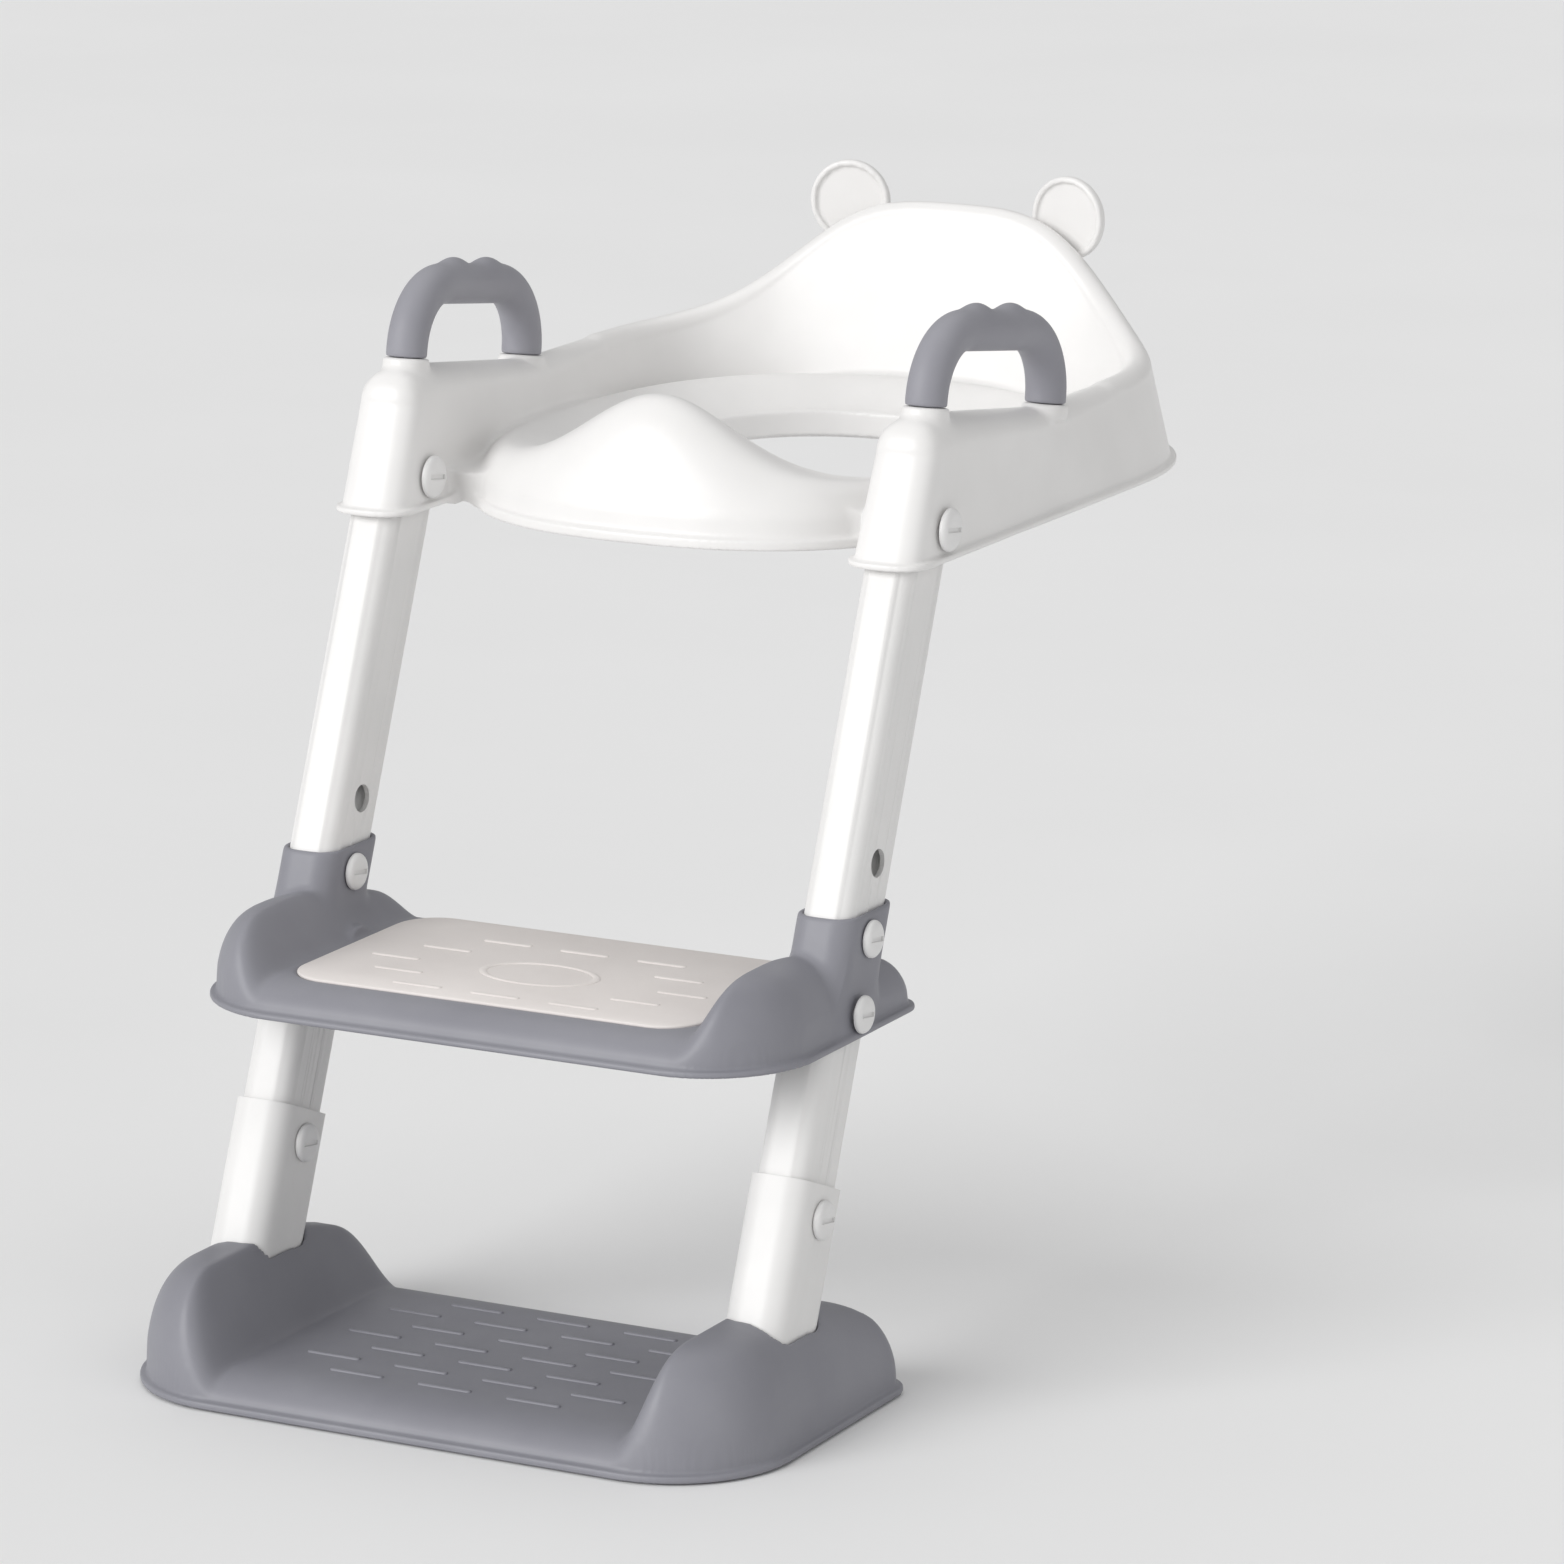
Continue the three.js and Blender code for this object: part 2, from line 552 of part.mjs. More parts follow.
function seatShell() {
  const cavity = seatWall(SEAT_WALL, SEAT_Z - 5, SEAT_LIP);
  let shell = seatWall(0, SEAT_Z, SEAT_LIP).add(ringBody());
  for (const side of [-1, 1]) {
    shell = shell.add(webBeside(side)).add(ear(side));
    for (const end of [-1, 1]) shell = shell.add(underHandle(side, end, BOSS.radius, -BOSS.height, -GAP));
  }
  shell = shell.subtract(cavity);
  for (const side of [-1, 1]) {
    for (const end of [-1, 1]) shell = shell.subtract(underHandle(side, end, SCREW.hole, -40, 10));
    shell = shell.subtract(acrossRail(side, S_PIVOT, BARREL_RADIUS + GAP, -40, 40));
    shell = shell.subtract(acrossRail(side, S_PIVOT, PIVOT_HEAD_RADIUS + GAP, PIVOT_HEAD_X - GAP, 40));
    shell = shell.subtract(acrossRail(side, S_PIVOT, PIVOT_HEAD_RADIUS + GAP, -40, GAP - PIVOT_HEAD_X));
  }
  return mainBody(shell);
}

function handleGrip() {
  const arc = (centreY, from) =>
    [0, 22.5, 45, 67.5, 90].map((degrees) => {
      const angle = THREE.MathUtils.degToRad(from - degrees);
      return new THREE.Vector3(
        0, centreY + HANDLE_BEND * Math.cos(angle), HANDLE_RISE - HANDLE_BEND + HANDLE_BEND * Math.sin(angle),
      );
    });
  const bend = HANDLE_SPAN - HANDLE_BEND;
  const points = [
    new THREE.Vector3(0, -HANDLE_SPAN, 0),
    ...arc(-bend, 180),
    new THREE.Vector3(0, 0, HANDLE_RISE),
    ...arc(bend, 90),
    new THREE.Vector3(0, HANDLE_SPAN, 0),
  ];
  const section = new THREE.Shape();
  section.absarc(0, 0, HANDLE_RADIUS, 0, Math.PI * 2);
  const tube = new THREE.ExtrudeGeometry(section, {
    steps: 18, curveSegments: 6, extrudePath: new THREE.CatmullRomCurve3(points, false, "centripetal"),
  });
  let grip = solid(tube);
  for (const end of [-1, 1]) {
    const knuckle = new THREE.SphereGeometry(1, 10, 6).scale(...KNUCKLE.radii);
    grip = grip.add(solid(knuckle.translate(0, end * KNUCKLE.at, HANDLE_RISE + KNUCKLE.above)));
    grip = grip.subtract(solid(upright(SCREW.hole, -20, 16, 10).translate(0, end * HANDLE_SPAN, 0)));
  }
  return mainBody(grip);
}

// ---------- fasteners ----------
// A round coin-slot head on a shank that points to -x; its under-head face is at x = 0.
function boltGeometry(headRadius, shankRadius, length) {
  const profile = [
    [0, -length], [shankRadius, -length], [shankRadius, 0], [headRadius, 0], [headRadius, 1.4],
    [headRadius * 0.7, HEAD_HEIGHT], [0, HEAD_HEIGHT],
  ].map(([r, h]) => new THREE.Vector2(r, h));
  const body = solid(new THREE.LatheGeometry(profile, 12).rotateZ(-Math.PI / 2));
  const slot = new THREE.BoxGeometry(2.4, headRadius * 1.5, 2.4).translate(HEAD_HEIGHT, 0, 0);
  return geometryOf(body.subtract(solid(slot)));
}

// A round cap on a barrel that takes the bolt's shank; it mirrors the bolt's head.
function capNutGeometry(headRadius, barrelRadius, bore, length) {
  const profile = [
    [0, 1], [bore, 1], [bore, -length], [barrelRadius, -length], [barrelRadius, 0], [headRadius, 0],
    [headRadius, 1.4], [headRadius * 0.7, HEAD_HEIGHT], [0, HEAD_HEIGHT],
  ].map(([r, h]) => new THREE.Vector2(r, h));
  return new THREE.LatheGeometry(profile, 12).rotateZ(-Math.PI / 2);
}

// ---------- assembly ----------
const chair = new THREE.Group();

function put(name, geometry, colour, roughness, parent = chair) {
  const mesh = new THREE.Mesh(geometry, finish(colour, roughness));
  mesh.name = name;
  parent.add(mesh);
  return mesh;
}

function railGeometry() {
  const { reach, halfWidth, chamfer } = RAIL_TOP;
  const barrel = [
    [0, -halfWidth], [reach - chamfer, -halfWidth], [reach, chamfer - halfWidth],
    [reach, halfWidth - chamfer], [reach - chamfer, halfWidth], [0, halfWidth],
  ].map(([r, h]) => new THREE.Vector2(r, h));
  const topRound = new THREE.LatheGeometry(barrel, 24).rotateZ(-Math.PI / 2).translate(0, 0, S_PIVOT);
  const belowPivot = railBlock(1, RAIL_START - 1, S_PIVOT);
  const tube = solid(railTube(0, -RAIL_WALL, RAIL_START, RAIL_END));
  const rail = tube.intersect(solid(topRound).add(solid(belowPivot)));
  const holes = [
    S_PIVOT, S_STEP_UPPER + HOLE_PITCH, S_STEP_UPPER, S_STEP_LOWER, S_SLEEVE_BOLT, S_SLEEVE_BOLT - HOLE_PITCH,
  ];
  const drilled = holes.reduce(
    (body, s) => body.subtract(solid(cylinderAlongX(HOLE_RADIUS, -40, 40).translate(0, 0, s))),
    rail,
  );
  return geometryOf(drilled);
}

function sleeveGeometry() {
  const tube = solid(railTube(SLEEVE_OUT, SLIDE_CLEARANCE, SLEEVE_START, SLEEVE_END));
  const hole = cylinderAlongX(SHANK_RADIUS + GAP, -40, 40).translate(0, 0, S_SLEEVE_BOLT);
  return geometryOf(tube.subtract(solid(hole)));
}

// A bolt from +x and a cap nut from -x clamp a joint; reach is how far their heads sit from the
// rail's axis.
function putClamp(ladder, name, s, reach, bolt, nut) {
  const boltMesh = put(`${name}_bolt`, bolt, WHITE, 0.3, ladder);
  boltMesh.position.set(reach, 0, s);
  const nutMesh = put(`${name}_nut`, nut, WHITE, 0.3, ladder);
  nutMesh.position.set(-reach, 0, s);
  nutMesh.rotation.z = Math.PI;
}

function putLadderSide(side, hand) {
  const ladder = new THREE.Group();
  ladder.position.set(side * RAIL_X, RAIL_FOOT_Y, 0);
  ladder.rotation.x = -LEAN;
  chair.add(ladder);
  put(`${hand}_rail`, railGeometry(), WHITE, 0.35, ladder);
  put(`${hand}_leg_sleeve`, sleeveGeometry(), WHITE, 0.35, ladder);

  // The pivot's nut has a barrel that the tower turns on, with the bolt's shank inside it.
  const pivotNut = capNutGeometry(PIVOT_HEAD_RADIUS, BARREL_RADIUS, SHANK_RADIUS + GAP, 2 * PIVOT_HEAD_X - 12);
  const pivotBolt = boltGeometry(PIVOT_HEAD_RADIUS, SHANK_RADIUS, 2 * PIVOT_HEAD_X - 6);
  putClamp(ladder, `${hand}_pivot`, S_PIVOT, PIVOT_HEAD_X, pivotBolt, pivotNut);

  const face = COLLAR_FACE + GAP;
  const stub = face - RAIL_WIDTH / 2 - GAP;
  for (const [name, s, radius] of [
    ["step_upper", S_STEP_UPPER, STEP_HEAD_RADIUS],
    ["sleeve", S_SLEEVE_BOLT, SLEEVE_HEAD_RADIUS],
  ]) {
    const bolt = boltGeometry(radius, SHANK_RADIUS, stub);
    const nut = capNutGeometry(radius, SHANK_RADIUS, SHANK_RADIUS / 2, stub);
    putClamp(ladder, `${hand}_${name}`, s, face, bolt, nut);
  }

  // The lower step bolt goes in from the outside and ends in the step's own boss.
  const lowerStub = STEP_LOWER_HEAD_X - RAIL_WIDTH / 2 - GAP;
  const lower = boltGeometry(STEP_HEAD_RADIUS, SHANK_RADIUS, lowerStub);
  const lowerBolt = put(`${hand}_step_lower_bolt`, lower, WHITE, 0.3, ladder);
  lowerBolt.position.set(side * STEP_LOWER_HEAD_X, 0, S_STEP_LOWER);
  lowerBolt.rotation.z = side < 0 ? Math.PI : 0;
}

function screwGeometry() {
  const { radius, head, headHeight, length } = SCREW;
  const profile = [
    [0, 0], [head, 0], [head, headHeight], [radius, headHeight], [radius, length], [0, length],
  ].map(([r, h]) => new THREE.Vector2(r, h));
  return new THREE.LatheGeometry(profile, 12).rotateX(Math.PI / 2);
}

function putHandle(side, hand) {
  const handle = new THREE.Group();
  handle.applyMatrix4(handleMatrix(side));
  chair.add(handle);
  put(`${hand}_handle_grip`, geometryOf(handleGrip()), GREY, 0.55, handle);
  for (const [end, at] of [["front", -1], ["back", 1]]) {
    const screw = put(`${hand}_handle_${end}_screw`, screwGeometry(), DARK, 0.4, handle);
    screw.position.set(0, at * HANDLE_SPAN, SCREW.seat - SCREW.headHeight);
  }
}

put("base_step", geometryOf(baseStep()), GREY, 0.5);
put("mid_step", geometryOf(midStep()), GREY, 0.5);
put("step_pad", extrude(padShape(0), PAD.thickness).translate(0, 0, PAD_BOTTOM), BEIGE, 0.8);
put("seat_shell", geometryOf(seatShell()), WHITE, 0.3);
for (const { x, y, end } of FEET) {
  const name = `${x < 0 ? "left" : "right"}_${end}_foot`;
  const foot = put(name, upright(FOOT.radius, 0, FOOT.height), DARK, 0.9);
  foot.position.set(x, y, 0);
}
for (const [side, hand] of [[-1, "left"], [1, "right"]]) {
  putLadderSide(side, hand);
  putHandle(side, hand);
}

export default chair;
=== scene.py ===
"""Potty training chair: a child's toilet seat with backrest, splash guard and two handles, on a
folding ladder with a mid step, telescoping legs and a bottom step.

Shapes are worked out in millimetres as distance fields and lofts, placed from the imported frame,
and scaled to metres when their meshes are made. +Z is up and -Y is the side the child climbs."""
import json
import math

import bmesh
import bpy
import numpy as np
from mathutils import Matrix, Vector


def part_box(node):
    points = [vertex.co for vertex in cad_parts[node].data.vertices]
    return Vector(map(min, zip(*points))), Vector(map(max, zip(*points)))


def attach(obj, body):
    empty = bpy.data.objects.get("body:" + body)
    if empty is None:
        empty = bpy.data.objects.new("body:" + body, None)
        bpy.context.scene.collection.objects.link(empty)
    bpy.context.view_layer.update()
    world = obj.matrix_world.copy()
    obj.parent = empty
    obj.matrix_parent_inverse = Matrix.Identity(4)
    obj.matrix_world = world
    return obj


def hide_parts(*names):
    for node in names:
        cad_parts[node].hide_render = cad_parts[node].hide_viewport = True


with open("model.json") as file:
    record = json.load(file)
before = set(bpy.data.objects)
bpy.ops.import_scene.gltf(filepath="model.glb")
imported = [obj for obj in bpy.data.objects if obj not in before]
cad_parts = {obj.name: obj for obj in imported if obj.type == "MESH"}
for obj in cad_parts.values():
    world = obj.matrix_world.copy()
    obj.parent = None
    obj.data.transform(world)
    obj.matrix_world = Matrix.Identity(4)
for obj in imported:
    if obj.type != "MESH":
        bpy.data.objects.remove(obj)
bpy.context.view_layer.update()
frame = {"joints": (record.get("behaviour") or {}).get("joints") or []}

import openvdb
from mathutils import Matrix, Vector

MM = 0.001
JOINTS = {joint["name"]: joint for joint in frame["joints"]}
SIDES = {"left": -1, "right": 1}

# ---------- places from the frame, in mm ----------


def box_mm(node):
    low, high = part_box(node)
    return np.array(low) / MM, np.array(high) / MM


PIVOT = np.array(JOINTS["seat_fold"]["pos_m"]) / MM
RAIL_AXIS = np.array(JOINTS["leg_height"]["axis"])  # up along the rails
RAIL_BACK = np.array([0, RAIL_AXIS[2], -RAIL_AXIS[1]])  # out of a rail's back face
HOLE_PITCH = JOINTS["leg_height"]["range_m"][1] / MM
S_PIVOT = PIVOT[2] / RAIL_AXIS[2]  # distances along a rail are measured from the floor
RAIL_FOOT_Y = PIVOT[1] - S_PIVOT * RAIL_AXIS[1]
RAIL_X = {hand: (box_mm(f"{hand}_rail")[0][0] + box_mm(f"{hand}_rail")[1][0]) / 2 for hand in SIDES}


def along_rail(node):
    """Distance up the rail of a node's centre."""
    low, high = box_mm(node)
    return (low[2] + high[2]) / 2 / RAIL_AXIS[2]


S_STEP_UPPER = along_rail("left_step_upper_bolt")
S_STEP_LOWER = along_rail("left_step_lower_bolt")
S_SLEEVE_BOLT = along_rail("left_sleeve_bolt")

# ---------- driving dimensions of the shapes, in mm ----------
GAP = 0.35
WALL = 3
RAIL = {"half_width": 14.5, "half_depth": 23, "corner": 10, "wall": 2.6}
SLIDE_CLEARANCE = 0.4
SLEEVE_OUT = 3.2
HOLE_RADIUS = 7.5
SHANK_RADIUS = 4.5
BARREL_RADIUS = 6.5
HEAD_HEIGHT = 4
SLOT = {"depth": 3.0, "width": 2.6, "length": 1.3, "tilt": 82}  # length in head radii, degrees from upright
STEP_HEAD_RADIUS = 10
PIVOT_HEAD_RADIUS = 11.5
COLLAR_FACE = RAIL["half_width"] + SLEEVE_OUT
PIVOT_HEAD_X = 21.3
STEP_LOWER_HEAD_X = 20.4
COLLAR_TOP = box_mm("mid_step")[1][2]
HUMP_RUN = 0.6
STEP_BOSS = {"radius": 11, "inner": 30, "outer": 12}  # takes the lower step bolt, beside each rail
STEP_ROUNDNESS = 2.4


def step_spec(node, **shape):
    low, high = box_mm(node)
    return {"half_width": high[0], "front": low[1], "back": high[1], "z": low[2], **shape}


BASE = step_spec(
    "base_step", front_corner=66, back_corner=17, deck_half=116, flank=26, deck=18, hump_top=64,
    hump_back=42, hump_fall=0.5, round=36, lip=3.2, lip_height=4,
)
STEP = step_spec(
    "mid_step", front_corner=60, back_corner=17, deck_half=122, flank=22, deck=18, hump_top=47,
    hump_back=30, hump_fall=0.35, round=30, lip=3.2, lip_height=3.6,
)
PAD_LOW, PAD_HIGH = box_mm("step_pad")
PAD_CORNER = 24

BELOW_SEAT = 14  # closed meshes go this far below the seat before they are cut off level
SKIRT_WIDTH = 4
SKIRT_DROP = 2  # the opening's skirt reaches this far below the flange
SEAT_Z = box_mm("seat_shell")[0][2] + SKIRT_DROP
SEAT_WALL = 2.7
SEAT_LIP = 2
SEAT_LIP_HEIGHT = 3.5
LIP_REACH = 3.2  # the flange stands this far out from the wall
SEAT_CENTRE_Y = 167.5
SEAT_OUTER = (177, 155)
SEAT_INNER = (138, 92)
WALL_CREST = (157, 136)
ROUNDNESS = 2.5
TOWER = {"outer": 175, "inner": 131, "centre": -72.5, "top": 501, "crest_x": 154, "crest_start": -53.5}
TOWER_CAP_DEPTH = 22.5
CREST_HALF = {"tower": 18.5, "side": 8.5, "back": 7}
CREST_ROUND = 0.95
SIDE_TOP = 482.8
CREST_TOP = 550
CREST_SPREAD = 105
CREST_POWER = 3.5
RING = {"centre": 95.5, "half_width": 150, "depth": 180}
OPENING = {"centre": 108.5, "half_width": 92, "depth": 121}
SKIRT_TOP = 441
RING_TOP = 456
RING_THICKNESS = 4
RING_ROUND = 16
GUARD_TOP = 498
GUARD_SPREAD = 62
GUARD_CREST = 0.444
FLANGE_SHARE = 0.955  # the ring's flat flange starts here, between the opening (0) and its edge (1)
EAR = {"x": 68.4, "y": 307.5, "z": 546, "radius": 23.5, "half": 3, "rim": 3.4, "recess": 2.4, "toe": 9}
HANDLE_FRONT = (155, -44, 504.5)
HANDLE_BACK = (159.7, 88.3, 485)
HANDLE_RADIUS = 11
HANDLE_RISE = 39
HANDLE_BEND = 36
KNUCKLE = {"at": 19, "above": 5, "radii": (8, 14, 9.3)}
HANDLE_BOSS = {"radius": 12.5, "height": 9}
SCREW_HOLE = 2.4

# ---------- distance fields ----------
BAND = 8  # half width of a level set, in voxels
STEP_VOXEL = 1.15
SEAT_VOXEL = 1.1
GRIP_VOXEL = 0.9


class Grid:
    """A regular grid of points round a box, with distance fields as arrays over it."""

    def __init__(self, low, high, voxel, margin=4):
        self.voxel = voxel
        self.start = np.floor(np.array(low) / voxel).astype(int) - margin
        end = np.ceil(np.array(high) / voxel).astype(int) + margin
        self.shape = tuple(end - self.start)
        axes = [(self.start[i] + np.arange(self.shape[i])) * voxel for i in range(3)]
        axes = [axis.astype(np.float32) for axis in axes]
        self.x = axes[0][:, None, None]
        self.y = axes[1][None, :, None]
        self.z = axes[2][None, None, :]
        self.transform = openvdb.createLinearTransform(voxelSize=voxel)

    def closed_mesh(self, points, triangles):
        """Field of a closed mesh, true within BAND voxels of it."""
        level = openvdb.FloatGrid.createLevelSetFromPolygons(
            np.ascontiguousarray(points, np.float32), triangles=np.ascontiguousarray(triangles, np.uint32),
            transform=self.transform, halfWidth=BAND,
        )
        values = np.zeros(self.shape, np.float32)
        level.copyToArray(values, ijk=tuple(int(i) for i in self.start))
        return values

    def surface(self, field):
        """Points and quads of a field's zero surface."""
        limit = np.float32(BAND * self.voxel)
        values = np.clip(np.broadcast_to(field, self.shape), -limit, limit).astype(np.float32)
        level = openvdb.FloatGrid(float(limit))
        level.transform = self.transform
        level.copyFromArray(np.ascontiguousarray(values), ijk=tuple(int(i) for i in self.start))
        return level.convertToQuads(isovalue=0.0)


def join(a, b, blend=0.0):
    """Union of two fields, with a fillet about as wide as blend."""
    if not blend:
        return np.minimum(a, b)
    share = np.clip(0.5 + 0.5 * (b - a) / blend, 0, 1)
    return b + (a - b) * share - blend * share * (1 - share)


def cut(a, b, blend=0.0):
    return -join(-a, b, blend)


def rounded_box(u, v, half_u, half_v, corner):
    """Distance to a rounded rectangle in two local coordinates."""
    qu = np.abs(u) - (half_u - corner)
    qv = np.abs(v) - (half_v - corner)
    return np.hypot(np.maximum(qu, 0), np.maximum(qv, 0)) + np.minimum(np.maximum(qu, qv), 0) - corner


def slab(value, low, high):
    return np.abs(value - (low + high) / 2) - (high - low) / 2


def rail_coordinates(grid, hand):
    """Across, back and up-the-rail coordinates of a grid's points."""
    y = grid.y - RAIL_FOOT_Y
    across = grid.x - RAIL_X[hand]
    back = y * RAIL_BACK[1] + grid.z * RAIL_BACK[2]
    up = y * RAIL_AXIS[1] + grid.z * RAIL_AXIS[2]
    return across, back, up


def rail_column(grid, hand, grow):
    across, back, _ = rail_coordinates(grid, hand)
    return rounded_box(
        across, back, RAIL["half_width"] + grow, RAIL["half_depth"] + grow, RAIL["corner"] + grow
    )


def cross_rail(grid, hand, s, radius, start, end):
    """A cylinder across a rail at height s, between two distances from the rail's axis."""
    across, back, up = rail_coordinates(grid, hand)
    low, high = min(start, end), max(start, end)
    return np.maximum(np.hypot(back, up - s) - radius, slab(across, low, high))


def smoothstep(low, high, value):
    t = np.clip((value - low) / (high - low), 0, 1)
    return t * t * (3 - 2 * t)


def mix(a, b, t):
    return a + (b - a) * t


def quarter_round(inset, reach, power=STEP_ROUNDNESS):
    """Share of the full height at a distance in from an edge that is rounded over reach."""
    t = np.clip(inset / reach, 0, 1)
    return (1 - (1 - t) ** power) ** (1 / power)


# ---------- meshes ----------


def mesh_object(name, points, faces, smooth=True):
    mesh = bpy.data.meshes.new(name)
    mesh.from_pydata(np.asarray(points, float) * MM, [], [list(map(int, f)) for f in faces])
    mesh.validate()
    mesh.update()
    mesh.shade_smooth() if smooth else mesh.shade_flat()
    obj = bpy.data.objects.new(name, mesh)
    bpy.context.scene.collection.objects.link(obj)
    return obj


def field_object(name, grid, field, smoothing=2):
    """Mesh of a field, with the grid's own steps relaxed away."""
    points, quads = grid.surface(field)
    obj = mesh_object(name, points, quads[:, ::-1])
    keep_largest(obj)
    relax = obj.modifiers.new("relax", "SMOOTH")
    relax.factor = 0.5
    relax.iterations = smoothing
    apply_modifiers(obj)
    return obj


def keep_largest(obj):
    """Drop any loose speck, so that the piece is one body."""
    bm = bmesh.new()
    bm.from_mesh(obj.data)
    left = set(bm.verts)
    groups = []
    while left:
        stack = [left.pop()]
        group = set(stack)
        while stack:
            for edge in stack.pop().link_edges:
                for vert in edge.verts:
                    if vert in left:
                        left.discard(vert)
                        group.add(vert)
                        stack.append(vert)
        groups.append(group)
    groups.sort(key=len)
    loose = [vert for group in groups[:-1] for vert in group]
    if loose:
        bmesh.ops.delete(bm, geom=loose, context="VERTS")
        bm.to_mesh(obj.data)
    bm.free()


def apply_modifiers(obj):
    graph = bpy.context.evaluated_depsgraph_get()
    mesh = bpy.data.meshes.new_from_object(obj.evaluated_get(graph))
    obj.modifiers.clear()
    obj.data = mesh


def loft(rows):
    """Points and triangles of a surface through closed rows of equal length."""
    rows = np.asarray(rows, float)
    count = rows.shape[1]
    points = rows.reshape(-1, 3)
    triangles = []
    for r in range(len(rows) - 1):
        for i in range(count):
            j = (i + 1) % count
            a, b = r * count + i, r * count + j
            triangles += [(a, b, b + count), (a, b + count, a + count)]
    return points, np.array(triangles)


def link_bmesh(name, bm):
    """Make an edit mesh into an object in the scene."""
    mesh = bpy.data.meshes.new(name)
    bm.to_mesh(mesh)
    bm.free()
    obj = bpy.data.objects.new(name, mesh)
    bpy.context.scene.collection.objects.link(obj)
    return obj


def bridge(bm, loops):
    """Quads from each loop of vertices to the next."""
    for a, b in zip(loops, loops[1:]):
        for i in range(len(a)):
            j = (i + 1) % len(a)
            bm.faces.new((a[i], a[j], b[j], b[i]))


def cap_ends(bm, loops):
    bm.faces.new(list(reversed(loops[0])))
    bm.faces.new(loops[-1])


def lathe_object(name, profile, centre, axis, segments=48):
    """A turned solid: profile is (radius, height) pairs from the axis and back to it."""
    turn = Vector((0, 0, 1)).rotation_difference(Vector(axis)).to_matrix()
    rings = []
    for radius, height in profile[1:-1]:
        ring = []
        for i in range(segments):
            angle = 2 * math.pi * i / segments
            local = Vector((radius * math.cos(angle), radius * math.sin(angle), height))
            ring.append(turn @ local + Vector(centre))
        rings.append(ring)
    bm = bmesh.new()
    verts = [[bm.verts.new(point * MM) for point in ring] for ring in rings]
    bridge(bm, verts)
    cap_ends(bm, verts)
    bm.normal_update()
    bmesh.ops.recalc_face_normals(bm, faces=bm.faces)
    obj = link_bmesh(name, bm)
    soften(obj)
    return obj


def soften(obj, angle=35):
    obj.data.shade_smooth()
    obj.data.set_sharp_from_angle(angle=math.radians(angle))


def cut_away(obj, other):
    """Cut one object out of another, and drop the cutter."""
    modifier = obj.modifiers.new("cut", "BOOLEAN")
    modifier.operation = "DIFFERENCE"
    modifier.solver = "EXACT"
    modifier.object = other
    apply_modifiers(obj)
    bpy.data.objects.remove(other)


def bevel(obj, width, segments=3, angle=30):
    modifier = obj.modifiers.new("round", "BEVEL")
    modifier.width = width * MM
    modifier.segments = segments
    modifier.limit_method = "ANGLE"
    modifier.angle_limit = math.radians(angle)
    apply_modifiers(obj)


# ---------- steps ----------


def step_outline(grid, spec):
    """Plan distance to a step's outline, with wide front corners and tight back ones."""
    middle = (spec["front"] + spec["back"]) / 2
    half_depth = (spec["back"] - spec["front"]) / 2
    y = grid.y - middle
    corner = np.where(y < 0, spec["front_corner"], spec["back_corner"])
    return rounded_box(grid.x, y, spec["half_width"], half_depth, corner)[:, :, :1]


def step_top(grid, spec):
    """Height of the top surface over the rim, before its outer edge is rounded off."""
    along = (grid.y - spec["front"]) / (spec["back"] - spec["front"])
    fall = smoothstep(spec["hump_fall"], spec["hump_fall"] + HUMP_RUN, along)
    hump = mix(spec["hump_top"], spec["hump_back"], fall)
    flank = smoothstep(spec["deck_half"], spec["deck_half"] + spec["flank"], np.abs(grid.x))
    return mix(spec["deck"], hump, flank)


def step_outer(grid, spec):
    """Field of the moulding's outside, open at the bottom."""
    outline = step_outline(grid, spec) + spec["lip"]
    height = spec["z"] + step_top(grid, spec) * quarter_round(-outline, spec["round"])
    slope_x, slope_y = np.gradient(height[:, :, 0], grid.voxel)
    steepness = np.sqrt(1 + slope_x**2 + slope_y**2)[:, :, None]
    return join_inside(outline, (grid.z - height) / steepness)


def join_inside(a, b, blend=1.5):
    """Intersection of two fields with its edge rounded."""
    return -join(-a, -b, blend)


def step_shell(grid, spec):
    outer = step_outer(grid, spec)
    shell = cut(outer, outer + WALL)
    rim = step_outline(grid, spec)
    lip = join_inside(rim, -(rim + spec["lip"] + WALL), 0)
    lip = join_inside(lip, slab(grid.z, spec["z"], spec["z"] + spec["lip_height"]), 1.2)
    return outer, join(shell, lip, 0.8)


def base_step():
    low, high = box_mm("base_step")
    grid = Grid(low, high, STEP_VOXEL)
    outer, body = step_shell(grid, BASE)
    for hand in SIDES:
        socket = join_inside(rail_column(grid, hand, SLEEVE_OUT + 4), outer)
        body = join(body, socket)
    for end in ("front", "back"):
        for hand in SIDES:
            foot_low, foot_high = box_mm(f"{hand}_{end}_foot")
            centre = (foot_low + foot_high) / 2
            radius = (foot_high[0] - foot_low[0]) / 2 + WALL
            post = np.hypot(grid.x - centre[0], grid.y - centre[1]) - radius
            post = np.maximum(np.maximum(post, foot_high[2] + GAP - grid.z), outer)
            body = join(body, post)
    for hand in SIDES:
        body = cut(body, rail_column(grid, hand, SLEEVE_OUT + GAP), 1.2)
    body = np.maximum(body, BASE["z"] - grid.z)
    piece = field_object("bottom_step_moulding", grid, body)
    return finish_piece(piece, "base", "base_step", "grey_plastic")


